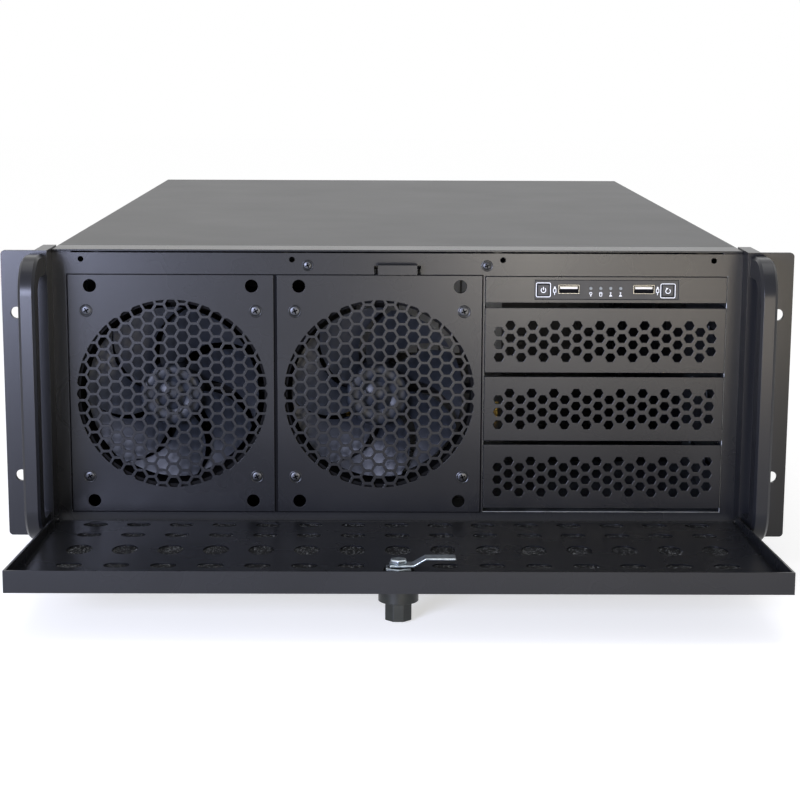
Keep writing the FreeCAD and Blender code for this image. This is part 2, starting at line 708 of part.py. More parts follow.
def make_fan_plate(side, step):
    """Fan plate with its honeycomb, screw holes and corner holes."""
    wide = size("plate_width") / 2
    high = size("plate_height") / 2
    corners = [(-wide, -high), (wide, -high), (wide, high), (-wide, high), (-wide, -high)]
    wires = [Part.makePolygon([FreeCAD.Vector(x, 0, z) for x, z in corners])]
    for x, z in honeycomb_centres():
        wires.append(cell_wire(x, z, size("cell_flats")))
    for across in (-1, 1):
        for up in (-1, 1):
            screw = size("fan_hole_pitch") / 2
            wires.append(cell_wire(across * screw, up * screw, size("fan_hole_dia")))
            x = across * size("latch_hole_span") / 2
            z = up * size("latch_hole_rise") / 2
            wires.append(cell_wire(x, z, size("latch_hole_dia"), 12))
    face = Part.Face(wires, "Part::FaceMakerBullseye")
    plate = doc.addObject("Part::Feature", "fan_plate_" + side)
    plate.Shape = face.extrude(FreeCAD.Vector(0, size("sheet"), 0))
    seat(plate, "fan_plate_" + side, "plate_left + %d * plate_pitch" % step, FACE,
         "plate_middle")


def make_fan_frame(side, step):
    """Square fan frame with a motor seat on four struts at its back."""
    body = new_body("fan_frame_" + side)
    half = "fan_size / 2"
    shell = new_sketch(body, "XZ_Plane", "shell_" + side)
    outline(shell, oblong("-" + half, half, "-" + half, half))
    polygon(shell, "0", "0", "fan_bore", 40)
    for across in (-1, 1):
        for up in (-1, 1):
            polygon(shell, "%d * fan_hole_pitch / 2" % across, "%d * fan_hole_pitch / 2" % up,
                    "fan_hole_dia", 6)
    pad(body, shell, "fan_deep", back=True)
    rear = "-(fan_deep - strut_deep)"
    for name, across, up in (("level", half, "strut_width / 2"), ("upright", "strut_width / 2", half)):
        struts = new_sketch(body, "XZ_Plane", "%s_struts_%s" % (name, side), rear)
        outline(struts, oblong("-(%s)" % across, across, "-(%s)" % up, up))
        pad(body, struts, "strut_deep", back=True)
    motor = new_sketch(body, "XZ_Plane", "motor_" + side, rear)
    polygon(motor, "0", "0", "motor_dia", 20)
    pad(body, motor, "strut_deep", back=True)
    seat(body, "fan_frame_" + side, "plate_left + %d * plate_pitch" % step,
         BEHIND + " + sheet", "plate_middle")


def blade_section(deep, low, chord):
    """A slanted strip: chord long, blade_thick thick, at the blade's pitch angle."""
    far = "%s + %s * cos(blade_pitch)" % (deep, chord)
    high = "%s + %s * sin(blade_pitch)" % (low, chord)
    return [(deep, low), (deep + " + blade_thick", low), (far + " + blade_thick", high), (far, high)]


HUB_FRONT = "fan_deep - strut_deep - hub_gap - hub_deep"


def make_fan_rotor(side, step):
    """Rotor hub with swept, slanted blades, turning in the frame's bore."""
    body = new_body("fan_rotor_" + side)
    hub = new_sketch(body, "XZ_Plane", "hub_" + side, "-(%s)" % HUB_FRONT)
    polygon(hub, "0", "0", "hub_dia", 21)
    pad(body, hub, "hub_deep", back=True)
    cap = new_sketch(body, "XZ_Plane", "cap_" + side, "-(%s - spigot_high)" % HUB_FRONT)
    ring(cap, "0", "0", "spigot_dia")
    pad(body, cap, "spigot_high", back=True)
    root = new_sketch(body, "YZ_Plane", "blade_root_" + side, "hub_dia / 2 - blade_bury")
    outline(root, blade_section("blade_start", "-blade_low", "blade_root"))
    tip = new_sketch(body, "YZ_Plane", "blade_tip_" + side, "fan_bore / 2 - tip_gap - corner_gap")
    outline(tip, blade_section("blade_start", "blade_sweep - blade_low", "blade_tip"))
    blade = body.newObject("PartDesign::AdditiveLoft", "blade_" + side)
    blade.Profile = root
    blade.Sections = [tip]
    blade.Ruled = True
    body.Tip = blade
    doc.recompute()
    wheel = body.newObject("PartDesign::PolarPattern", "blades_" + side)
    wheel.Originals = [blade]
    wheel.Axis = (plane_of(body, "Y_Axis"), [""])
    wheel.Angle = 360
    bind(wheel, "Occurrences", "blades")
    body.Tip = wheel
    seat(body, "fan_rotor_" + side, "plate_left + %d * plate_pitch" % step,
         BEHIND + " + sheet", "plate_middle")


def screw(name, x, y, z, length="screw_length", turn=BACKWARD):
    """A pan-head screw whose head lies in front of y and whose shank runs on."""
    push = turn.multVec(Z_AXIS)
    head = rod(name + "_head", "%s - %g * head_thick" % (x, push.x),
               "%s - %g * head_thick" % (y, push.y), "%s - %g * head_thick" % (z, push.z),
               "head_dia", "head_thick", turn, 8)
    shank = rod(name + "_shank", x, y, z, "shank_dia", length, turn, 6)
    return fuse(name, [head, shank])


def make_fan_plate_screws():
    """Four screws in each fan plate, through the bulkhead into the fan frame."""
    screws = []
    for step in (0, 1):
        for across in (-1, 1):
            for up in (-1, 1):
                name = "fan_screw_%d_%d_%d" % (step, across + 1, up + 1)
                x = "plate_left + %d * plate_pitch + %d * fan_hole_pitch / 2" % (step, across)
                z = "plate_middle + %d * fan_hole_pitch / 2" % up
                screws.append(screw(name, x, FACE, z))
    seat(group("fan_plate_screws", screws), "fan_plate_screws")


def make_strip_screws():
    screws = []
    for side in (-1, 1):
        screws.append(screw("strip_screw_%d" % (side + 1), "%d * strip_screw_at" % side, FACE,
                            "strip_screw_level", "short_screw"))
    seat(group("strip_screws", screws), "strip_screws")


# -------------------------------------------------- bay covers and connector strip

def make_bay_cover(name, step):
    """Bay cover: a face with a folded flange at each side."""
    body = new_body("bay_cover_" + name)
    half = "bay_width / 2 - fit_gap"
    rear = FACE + " + cover_flange"
    sketch = new_sketch(body, "XY_Plane", "cover_section_" + name)
    outline(sketch, [
        ("-(%s)" % half, FACE), (half, FACE), (half, rear), (half + " - sheet", rear),
        (half + " - sheet", BEHIND), ("-(%s) + sheet" % half, BEHIND),
        ("-(%s) + sheet" % half, rear), ("-(%s)" % half, rear),
    ])
    pad(body, sketch, "cover_height")
    seat(body, "bay_cover_" + name, "bay_middle", "0",
         "bay_bottom + cover_lift + %d * bay_pitch" % step)


IO_LOW = "bay_bottom + bay_height - fit_gap - io_height"
LABEL_FACE = FACE + " + proud"


def make_io_strip():
    """Connector strip above the bays, with a window for the label panel."""
    body = new_body("io_strip")
    half = "bay_width / 2 - fit_gap"
    rear = FACE + " + cover_flange / 2"
    sketch = new_sketch(body, "XY_Plane", "strip_section", IO_LOW)
    outline(sketch, [
        ("bay_middle - (%s)" % half, FACE), ("bay_middle + " + half, FACE),
        ("bay_middle + " + half, rear), ("bay_middle + %s - sheet" % half, rear),
        ("bay_middle + %s - sheet" % half, BEHIND), ("bay_middle - (%s) + sheet" % half, BEHIND),
        ("bay_middle - (%s) + sheet" % half, rear), ("bay_middle - (%s)" % half, rear),
    ])
    pad(body, sketch, "io_height")
    window = new_sketch(body, "XZ_Plane", "strip_window", "-(%s)" % FACE)
    outline(window, oblong(
        "label_left", "label_left + label_width", "label_bottom", "label_bottom + label_height"))
    pocket(body, window)
    seat(body, "io_strip")


def make_label_panel():
    """Plastic panel in the strip's window, pierced for sockets, lights and buttons."""
    body = new_body("io_label_panel")
    face = new_sketch(body, "XZ_Plane", "label_face", "-(%s)" % LABEL_FACE)
    outline(face, oblong(
        "label_left", "label_left + label_width", "label_bottom", "label_bottom + label_height"))
    pad(body, face, "sheet", back=True)
    holes = new_sketch(body, "XZ_Plane", "label_holes", "-(%s)" % LABEL_FACE)
    for centre in ("usb_left", "usb_right"):
        outline(holes, oblong(
            centre + " - usb_width / 2", centre + " + usb_width / 2",
            "usb_level - usb_height / 2", "usb_level + usb_height / 2"))
    for centre in ("power_at", "reset_at"):
        reach = "(button_side / 2 + button_gap)"
        outline(holes, oblong(
            "%s - %s" % (centre, reach), "%s + %s" % (centre, reach),
            "button_level - " + reach, "button_level + " + reach))
    for number in range(4):
        polygon(holes, "led_first + %d * led_pitch" % number, "led_level", "led_dia", 8)
    pocket(body, holes)
    seat(body, "io_label_panel")


def make_io_board():
    """Circuit board behind the strip, held between the cage walls."""
    half = "(bay_width / 2 - fit_gap)"
    board = box("io_board_sheet", ("bay_middle - " + half, "bay_middle + " + half),
                (FACE + " + board_gap", FACE + " + board_gap + board_thick"),
                (IO_LOW, IO_LOW + " + io_height"))
    seat(fuse("io_board", [board, make_switches()]), "io_board")


def make_switches():
    """Two switch bodies on the board, one behind each push button."""
    switches = []
    for centre in ("power_at", "reset_at"):
        switches.append(box("switch_" + centre,
                            (centre + " - switch_side / 2", centre + " + switch_side / 2"),
                            (FACE + " + board_gap - switch_deep", FACE + " + board_gap"),
                            ("button_level - switch_side / 2", "button_level + switch_side / 2")))
    return group("switches", switches)


def make_push_button(name, centre):
    """Square push button whose stem stops one travel short of its switch."""
    front = FACE + " - proud"
    rear = FACE + " + board_gap - switch_deep - button_travel - button_gap"
    seat(box(name, (centre + " - button_side / 2", centre + " + button_side / 2"),
             (front, rear), ("button_level - button_side / 2", "button_level + button_side / 2")),
         name, centre + " - button_side / 2", front, "button_level - button_side / 2")


def make_usb_port(name, centre):
    """Socket shell with its tongue, standing on the connector board."""
    across = "usb_width / 2"
    up = "usb_height / 2"
    deep = (FACE, FACE + " + board_gap")
    shell = box(name + "_shell", (centre + " - " + across, centre + " + " + across), deep,
                ("usb_level - " + up, "usb_level + " + up))
    hollow = box(name + "_hollow",
                 (centre + " - usb_width / 2 + usb_wall", centre + " + usb_width / 2 - usb_wall"),
                 (FACE, FACE + " + board_gap - 2 * usb_wall"),
                 ("usb_level - usb_height / 2 + usb_wall", "usb_level + usb_height / 2 - usb_wall"))
    tongue = box(name + "_tongue",
                 (centre + " - usb_width / 2 + tongue_gap", centre + " + usb_width / 2 - tongue_gap"),
                 (FACE + " + tongue_gap", FACE + " + board_gap - usb_wall"),
                 ("usb_level", "usb_level + tongue_thick"))
    seat(fuse(name, [cut(name + "_case", shell, [hollow]), tongue]), name)


def make_indicator_leds():
    lights = []
    for number in range(4):
        lights.append(rod("led_%d" % number, "led_first + %d * led_pitch" % number, FACE,
                          "led_level", "led_dia", "board_gap", sides=8))
    seat(group("indicator_leds", lights), "indicator_leds")


# -------------------------------------------------------------- ears and handles

def make_ear(side, way):
    """Extruded ear: rack plate in front and a thick leg along the case's side."""
    body = new_body("ear_" + side)
    sketch = new_sketch(body, "XY_Plane", "ear_section_" + side)
    inner = "%d * case_width / 2" % way
    leg = "%d * (case_width / 2 + leg_thick)" % way
    outer = "%d * rack_width / 2" % way
    outline(sketch, [
        (inner, "-ear_thick"), (outer, "-ear_thick"), (outer, "0"), (leg, "0"),
        (leg, "leg_reach"), (inner, "leg_reach"),
    ])
    pad(body, sketch, "rack_height")
    edge_x = way * size("rack_width") / 2
    dress(body, "Fillet", "Radius", "ear_corner", "ear_corners_" + side,
          lambda edge: runs_along(edge, Y_AXIS) and abs(edge.CenterOfMass.x - edge_x) < 0.01)
    holes = new_sketch(body, "XZ_Plane", "rack_holes_" + side)
    for up in (-1, 1):
        ring(holes, "%d * rack_hole_span / 2" % way,
             "rack_height / 2 + %d * rack_hole_rise / 2" % up, "rack_hole_dia")
        polygon(holes, LEG_MIDDLE % way, HANDLE_SCREW % up, "shank_dia + fit_gap", 6)
    pocket(body, holes)
    pin = new_sketch(body, "YZ_Plane", "pin_hole_" + side)
    ring(pin, "hinge_drop - ear_thick", "hinge_level", "pin_dia")
    pocket(body, pin)
    seat(body, "ear_" + side)


LEG_MIDDLE = "%d * (case_width / 2 + leg_thick / 2)"
HANDLE_SCREW = "rack_height / 2 + %d * (handle_height / 2 - handle_screw_inset)"


def make_handle(side, way):
    """U-shaped pull handle standing on the ear's face."""
    body = new_body("handle_" + side)
    low = "rack_height / 2 - handle_height / 2"
    high = "rack_height / 2 + handle_height / 2"
    foot = "-ear_thick"
    front = "-ear_thick - handle_reach"
    bar = front + " + bar_deep"
    sketch = new_sketch(body, "YZ_Plane", "handle_side_" + side,
                        "%d * handle_at" % way)
    outline(sketch, [
        (foot, low), (foot, low + " + arm_thick"), (bar, low + " + arm_thick"),
        (bar, high + " - arm_thick"), (foot, high + " - arm_thick"), (foot, high),
        (front, high), (front, low),
    ])
    pad(body, sketch, "bar_width", midplane=True)
    front_y = -size("ear_thick") - size("handle_reach")
    bar_y = front_y + size("bar_deep")
    dress(body, "Fillet", "Radius", "handle_bend", "outer_bends_" + side,
          lambda edge: runs_along(edge, X_AXIS) and abs(edge.CenterOfMass.y - front_y) < 0.01)
    dress(body, "Fillet", "Radius", "handle_bend - bar_deep", "inner_bends_" + side,
          lambda edge: runs_along(edge, X_AXIS) and abs(edge.CenterOfMass.y - bar_y) < 0.01)
    dress(body, "Chamfer", "Size", "bar_edge", "bar_edges_" + side,
          lambda edge: runs_along(edge, Z_AXIS) and abs(edge.CenterOfMass.y - front_y) < 0.01)
    tapped = new_sketch(body, "XZ_Plane", "handle_holes_" + side, "ear_thick")
    for up in (-1, 1):
        polygon(tapped, LEG_MIDDLE % way, HANDLE_SCREW % up, "shank_dia", 6)
    doc.recompute()
    holes = body.newObject("PartDesign::Pocket", "handle_taps_" + side)
    holes.Profile = tapped
    holes.Reversed = True
    bind(holes, "Length", "handle_screw_bite")
    body.Tip = holes
    seat(body, "handle_" + side)


def make_handle_screws():
    """Long screws through the legs of the ears into the ends of the handles."""
    forward = FreeCAD.Rotation(X_AXIS, 90)
    screws = []
    for side, way in SIDES:
        for up in (-1, 1):
            name = "handle_screw_%s_%d" % (side, up + 1)
            screws.append(screw(name, LEG_MIDDLE % way, "leg_reach", HANDLE_SCREW % up,
                                "leg_reach + ear_thick + handle_screw_bite", forward))
    seat(group("handle_screws", screws), "handle_screws")


# --------------------------------------------------------------- door and its lock
# The door's pieces are drawn flat about the hinge axis, with the outer face down
# and the free edge towards -Y, and then turned up by the door's rest angle.

OUTER = "-hinge_drop"
INNER = "-hinge_drop + sheet"
HEEL = "hinge_inset"
TOE = "hinge_inset - door_length"
LOCK_Y = "hinge_inset - lock_from_edge"
MESH_TOP = INNER + " + filter_thick"
PLATE_TOP = MESH_TOP + " + retainer_thick"


def hang(thing, label):
    """Place a door piece on the hinge axis at the door's rest angle."""
    seat(thing, label, "0", "hinge_drop - ear_thick", "hinge_level")
    thing.Placement.Rotation = FreeCAD.Rotation(X_AXIS, -size("door_tilt"))


def make_door():
    """Folded door tray: outer sheet, front flange and tapered side flanges."""
    body = new_body("door")
    fold = new_sketch(body, "YZ_Plane", "door_fold")
    outline(fold, [
        (HEEL, OUTER), (HEEL, INNER), (TOE + " + sheet", INNER),
        (TOE + " + sheet", OUTER + " + door_flange"), (TOE, OUTER + " + door_flange"),
        (TOE, OUTER),
    ])
    pad(body, fold, "case_width - 2 * door_gap", midplane=True)
    for side, way in SIDES:
        middle = "%d * (case_width / 2 - door_gap - sheet / 2)" % way
        flange = new_sketch(body, "YZ_Plane", "door_flange_" + side, middle)
        outline(flange, [
            (HEEL, OUTER), (HEEL, OUTER + " + door_heel"), ("hinge_boss", OUTER + " + 2 * hinge_drop"),
            ("hinge_boss / 3", "hinge_boss"), ("-hinge_boss / 3", "hinge_boss"),
            ("-3 * hinge_boss", OUTER + " + door_heel + flange_step"),
            (TOE, OUTER + " + door_flange"), (TOE, OUTER),
        ])
        pad(body, flange, "sheet", midplane=True)
    pins = new_sketch(body, "YZ_Plane", "door_pin_holes")
    ring(pins, "0", "0", "pin_dia + pin_play")
    pocket(body, pins)
    lock = new_sketch(body, "XY_Plane", "door_lock_hole")
    polygon(lock, "0", LOCK_Y, "sleeve_dia + sleeve_gap", 16)
    pocket(body, lock)
    hang(body, "door")


def make_door_sheet(label, low, thick):
    """A sheet laid inside the door, with a hole for the lock."""
    body = new_body(label)
    half = "case_width / 2 - door_gap - sheet - retainer_edge"
    sketch = new_sketch(body, "XY_Plane", label + "_face", low)
    outline(sketch, oblong(
        "-(%s)" % half, half, TOE + " + sheet + retainer_edge", "-hinge_boss - retainer_edge"))
    polygon(sketch, "0", LOCK_Y, "nut_flats + 2 * nut_room", 16)
    pad(body, sketch, thick)
    hang(body, label)


def make_hinge_pins():
    """One pin in each ear's leg, reaching through the door's side flange."""
    pins = []
    for side, way in SIDES:
        inner = "case_width / 2 - door_gap - sheet - pin_reach"
        length = "case_width / 2 + leg_thick - (%s)" % inner
        start = inner if way > 0 else "-(case_width / 2 + leg_thick)"
        pins.append(rod("hinge_pin_" + side, start, "hinge_drop - ear_thick", "hinge_level",
                        "pin_dia", length, SIDEWAYS))
    seat(group("hinge_pins", pins), "hinge_pins")


def make_lock_collar():
    """Fixed collar under the door, with a threaded sleeve up through it."""
    body = new_body("lock_collar")
    flange = new_sketch(body, "XY_Plane", "collar_flange", OUTER)
    polygon(flange, "0", LOCK_Y, "collar_dia", 24)
    polygon(flange, "0", LOCK_Y, "spindle_dia + spindle_play", 12)
    pad(body, flange, "collar_thick", back=True)
    sleeve = new_sketch(body, "XY_Plane", "collar_sleeve", OUTER)
    polygon(sleeve, "0", LOCK_Y, "sleeve_dia", 16)
    polygon(sleeve, "0", LOCK_Y, "spindle_dia + spindle_play", 12)
    pad(body, sleeve, "sheet + nut_thick")
    hang(body, "lock_collar")


def make_lock_nut():
    body = new_body("lock_nut")
    sketch = new_sketch(body, "XY_Plane", "nut_face", INNER)
    polygon(sketch, "0", LOCK_Y, "nut_flats", 6)
    polygon(sketch, "0", LOCK_Y, "sleeve_dia", 16)
    pad(body, sketch, "nut_thick")
    hang(body, "lock_nut")


CAM_LOW = INNER + " + nut_thick + cam_gap"


def make_lock_knob():
    """Eight-sided knob under the collar, with a spindle up through the sleeve."""
    body = new_body("lock_knob")
    grip = new_sketch(body, "XY_Plane", "knob_grip", OUTER + " - collar_thick - cam_gap")
    corners = []
    for step in range(8):
        angle = 45 * step + 22.5
        corners.append(("knob_dia / 2 * cos(%s)" % angle,
                        "%s + knob_dia / 2 * sin(%s)" % (LOCK_Y, angle)))
    outline(grip, corners)
    pad(body, grip, "knob_length", back=True)
    spindle = new_sketch(body, "XY_Plane", "knob_spindle", OUTER + " - collar_thick - cam_gap")
    ring(spindle, "0", LOCK_Y, "spindle_dia")
    pad(body, spindle, "collar_thick + sheet + nut_thick + 2 * cam_gap + cam_thick")
    hang(body, "lock_knob")


def make_lock_cam():
    """Cranked cam strip on the end of the spindle."""
    body = new_body("lock_cam")
    side = new_sketch(body, "XZ_Plane", "cam_side", "-(%s)" % LOCK_Y)
    base = CAM_LOW
    outline(side, [
        ("-cam_width / 2", base), ("cam_flat", base), ("cam_flat + cam_crank", base + " + cam_rise"),
        ("cam_length", base + " + cam_rise"), ("cam_length", base + " + cam_rise + cam_thick"),
        ("cam_flat + cam_crank - cam_thick / 3", base + " + cam_rise + cam_thick"),
        ("cam_flat - cam_thick / 3", base + " + cam_thick"),
        ("-cam_width / 2", base + " + cam_thick"),
    ])
    pad(body, side, "cam_width", midplane=True)
    hole = new_sketch(body, "XY_Plane", "cam_hole")
    polygon(hole, "0", LOCK_Y, "spindle_dia", 8)
    pocket(body, hole)
    hang(body, "lock_cam")


def make_cam_nut():
    body = new_body("cam_nut")
    sketch = new_sketch(body, "XY_Plane", "cam_nut_face", CAM_LOW + " + cam_thick")
    polygon(sketch, "0", LOCK_Y, "cam_nut_flats", 6)
    pad(body, sketch, "cam_nut_thick")
    hang(body, "cam_nut")


# ------------------------------------------------------------------------- build

def make_all():
    make_chassis_tray()
    make_top_rail()
    make_top_cover()
    make_front_panel()
    make_fan_bulkhead()
    make_rear_panel()
    make_blanks()
    make_slot_covers()
    make_drive_cage()
    make_cage_feet()
    make_cross_brace()
    make_psu_shelf()
    make_board_standoffs()
    for step, (side, way) in enumerate(SIDES):
        make_fan_plate(side, step)
        make_fan_frame(side, step)
        make_fan_rotor(side, step)
        make_ear(side, way)
        make_handle(side, way)
    make_fan_plate_screws()
    make_strip_screws()
    make_handle_screws()
    for step, name in enumerate(("bottom", "middle", "top")):
        make_bay_cover(name, step)
    make_io_strip()
    make_label_panel()
    make_io_board()
    make_push_button("power_button", "power_at")
    make_push_button("reset_button", "reset_at")
    make_usb_port("usb_port_left", "usb_left")
    make_usb_port("usb_port_right", "usb_right")
    make_indicator_leds()
    make_door()
    make_door_sheet("door_filter", INNER, "filter_thick")
    make_door_sheet("filter_retainer", MESH_TOP, "retainer_thick")
    make_hinge_pins()
    make_lock_collar()
    make_lock_nut()
    make_lock_knob()
    make_lock_cam()
    make_cam_nut()


make_all()
doc.recompute()

for thing in doc.Objects:
    if "Invalid" in thing.State or "Error" in thing.State:
        raise RuntimeError("%s failed: %s" % (thing.Name, thing.State))

os.makedirs("parts", exist_ok=True)
for thing in subparts:
    shape = thing.Shape
    if shape.isNull() or not shape.isValid() or not shape.Solids:
        raise RuntimeError(thing.Label + " has no valid solid")
    shape.exportStep("parts/%s.step" % thing.Label)
    print("%-20s %2d solids %12.1f mm3" % (thing.Label, len(shape.Solids), shape.Volume))
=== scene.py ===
"""Looks of an empty rackmount server case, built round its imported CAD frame.

The scene is in metres. Sizes and places are written in mm and times MM. +X is right, +Y back and +Z up.
"""

import json
import math

import bmesh
import bpy
from mathutils import Matrix, Vector

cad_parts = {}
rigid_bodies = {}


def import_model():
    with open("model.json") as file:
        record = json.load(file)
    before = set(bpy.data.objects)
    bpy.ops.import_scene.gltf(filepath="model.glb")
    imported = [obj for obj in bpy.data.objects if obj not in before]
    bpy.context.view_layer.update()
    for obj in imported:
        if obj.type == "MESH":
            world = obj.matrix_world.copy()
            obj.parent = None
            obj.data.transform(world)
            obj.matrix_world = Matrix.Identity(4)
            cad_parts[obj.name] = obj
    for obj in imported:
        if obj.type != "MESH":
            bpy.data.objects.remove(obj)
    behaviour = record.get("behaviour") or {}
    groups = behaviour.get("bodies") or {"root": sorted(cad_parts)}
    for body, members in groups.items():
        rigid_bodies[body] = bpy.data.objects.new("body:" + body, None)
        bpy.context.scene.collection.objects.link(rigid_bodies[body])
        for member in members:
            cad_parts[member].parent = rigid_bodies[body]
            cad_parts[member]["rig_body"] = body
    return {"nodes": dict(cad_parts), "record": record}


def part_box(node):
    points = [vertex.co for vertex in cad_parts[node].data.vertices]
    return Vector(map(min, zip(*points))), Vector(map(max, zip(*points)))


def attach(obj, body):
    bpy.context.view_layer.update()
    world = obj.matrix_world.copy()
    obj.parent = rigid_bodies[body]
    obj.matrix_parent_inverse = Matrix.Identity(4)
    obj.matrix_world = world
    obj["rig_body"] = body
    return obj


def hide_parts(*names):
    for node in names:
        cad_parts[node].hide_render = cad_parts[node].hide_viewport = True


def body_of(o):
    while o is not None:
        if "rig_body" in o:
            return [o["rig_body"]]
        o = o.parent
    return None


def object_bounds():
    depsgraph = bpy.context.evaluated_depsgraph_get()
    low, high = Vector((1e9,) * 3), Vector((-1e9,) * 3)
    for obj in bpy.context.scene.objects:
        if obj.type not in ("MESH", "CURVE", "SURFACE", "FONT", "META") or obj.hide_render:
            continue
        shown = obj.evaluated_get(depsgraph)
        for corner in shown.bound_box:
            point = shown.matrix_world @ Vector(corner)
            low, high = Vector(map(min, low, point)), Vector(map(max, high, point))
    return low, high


MM = 0.001
UNDERSIDE = -88.9  # height of the case's underside in the frame
FACE = 13.2  # depth of the front panel's face
DOOR_AXIS = (0.0, -1.0, -79.6)  # where the door's hinge axis runs
DOOR_TILT = math.radians(-1.15)  # the open door's front edge stands a little high
DOOR_BACK = 3.2  # from the hinge axis to the door's lower edge
UPRIGHT = (math.pi / 2, 0.0, 0.0)  # turns a flat grid to stand on the face

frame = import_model()
nodes = frame["nodes"]
slot_of = {part["node"]: part["material_slot"] for part in frame["record"]["subparts"]}
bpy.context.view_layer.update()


# ---------------------------------------------------------------- small helpers

def linear(text):
    """An sRGB hex colour as the linear RGBA that Blender works in."""
    levels = (int(text[i:i + 2], 16) / 255 for i in (1, 3, 5))
    return (*(v / 12.92 if v <= 0.04045 else ((v + 0.055) / 1.055) ** 2.4 for v in levels), 1.0)


def add(tree, kind, inputs=None, stops=(), **settings):
    """A node with its settings and links; a colour ramp also has its two (place, hex) stops.

    An input is given a value, a socket to link, a node whose first output is linked, or a list of such nodes.
    """
    node = tree.nodes.new(kind)
    for name, value in settings.items():
        setattr(node, name, value)
    for i, (place, colour) in enumerate(stops):
        node.color_ramp.elements[i].position = place
        node.color_ramp.elements[i].color = linear(colour)
    for key, value in (inputs or {}).items():
        for source in value if isinstance(value, list) else [value]:
            if isinstance(source, bpy.types.Node):
                source = source.outputs[0]
            if isinstance(source, bpy.types.NodeSocket):
                tree.links.new(source, node.inputs[key])
            else:
                node.inputs[key].default_value = source
    return node


def shader(name, build):
    """A material whose Principled sockets are what build(tree, object coordinates) gives."""
    made = bpy.data.materials.new(name)
    made.use_nodes = True
    tree = made.node_tree
    tree.nodes.clear()
    place = add(tree, "ShaderNodeTexCoord").outputs["Object"]
    surface = add(tree, "ShaderNodeBsdfPrincipled", build(tree, place))
    add(tree, "ShaderNodeOutputMaterial", {"Surface": surface})
    return made


# ---------------------------------------------------------------- materials

def clouded(tree, place, size, shades, rough, detail=2.0, edges=(0.3, 0.7)):
    """Clouds as wide as size: colour drifts between two shades and roughness between two values."""
    cloud = add(tree, "ShaderNodeTexNoise", {"Vector": place, "Scale": 1 / (size * MM), "Detail": detail})
    colour = add(tree, "ShaderNodeValToRGB", {"Fac": cloud}, stops=zip(edges, shades))
    dull = add(tree, "ShaderNodeMapRange", {"Value": cloud, "To Min": rough[0], "To Max": rough[1]})
    return {"Base Color": colour, "Roughness": dull}


def relief(tree, place, width, depth, detail=1.0, **under):
    """Bumps as wide as width and as high as depth, on top of the relief under them."""
    height = add(tree, "ShaderNodeTexNoise", {"Vector": place, "Scale": 1 / (width * MM), "Detail": detail})
    return add(tree, "ShaderNodeBump", {"Height": height, "Distance": depth * MM, **under})


def powder_coat(tree, place, rough=(0.25, 0.3)):
    """Black powder coat: fine orange peel, so lamps spread into soft wide sheens on a deep black."""
    peel = relief(tree, place, 1.1, 0.012)
    return {
        **clouded(tree, place, 60, ("#121316", "#16171a"), rough, 3.0, (0.35, 0.75)),
        "Specular IOR Level": 0.27,
        "Normal": relief(tree, place, 0.35, 0.004, Normal=peel),
    }


def worn_coat(tree, place):
    """The same coat on the top cover, dulled a little by dust and handling: a flatter, greyer sheen."""
    return powder_coat(tree, place, (0.37, 0.43))


def handle_coat(tree, place):
    """Black anodised aluminium: a little smoother than the coated sheet, with fine lines along it.

    The lines are drawn 0.5 mm wide, coarser than real ones, so that they show.
    """
    drawn = add(tree, "ShaderNodeMapping", {"Vector": place, "Scale": (1, 1, 0.03)})
    lines = add(tree, "ShaderNodeTexNoise", {"Vector": drawn, "Scale": 1 / (0.5 * MM)})
    return {
        "Base Color": linear("#121317"),
        "Roughness": add(tree, "ShaderNodeMapRange", {"Value": lines, "To Min": 0.26, "To Max": 0.32}),
        "Specular IOR Level": 0.28,
        "Normal": add(tree, "ShaderNodeBump", {"Height": lines, "Distance": 0.004 * MM}),
    }


def bare_sheet(tree, place):
    """Zinc coated sheet steel: large soft spangles give it a patchy grey sheen."""
    flakes = add(tree, "ShaderNodeTexVoronoi", {"Vector": place, "Scale": 1 / (9 * MM)})
    tone = add(tree, "ShaderNodeSeparateColor", {"Color": flakes.outputs["Color"]})
    grey = add(tree, "ShaderNodeValToRGB", {"Fac": tone}, stops=((0.0, "#6f7276"), (1.0, "#85888b")))
    return {
        "Base Color": grey,
        "Metallic": 1.0,
        "Roughness": add(tree, "ShaderNodeMapRange", {"Value": tone, "To Min": 0.36, "To Max": 0.5}),
        "Normal": relief(tree, place, 0.8, 0.006, 2.0),
    }


def bright_zinc(tree, place):
    """Bright zinc plate on small steel parts: pale, with a bluish cast and soft highlights."""
    return {
        **clouded(tree, place, 2.5, ("#a9b3b9", "#c8d0d3"), (0.24, 0.38), 3.0),
        "Metallic": 1.0,
        "Normal": relief(tree, place, 0.5, 0.006, 2.0),
    }


def black_oxide(tree, place):
    """Black oxide steel of screws: dark metal with an oily sheen."""
    return {**clouded(tree, place, 1.5, ("#343537", "#424345"), (0.28, 0.4)), "Metallic": 1.0}


def lock_coat(tree, place):
    """Black plated lock: greenish black, smooth, with soft facets."""
    return {
        **clouded(tree, place, 4, ("#121411", "#1a1d19"), (0.3, 0.4)),
        "Specular IOR Level": 0.35,
        "Normal": relief(tree, place, 0.4, 0.004),
    }


def socket_tin(tree, place):
    """Nickel plated socket shells: grey and slightly warm, with a smooth sheen."""
    return {**clouded(tree, place, 1.2, ("#5a5955", "#6c6b67"), (0.2, 0.3)), "Metallic": 1.0}


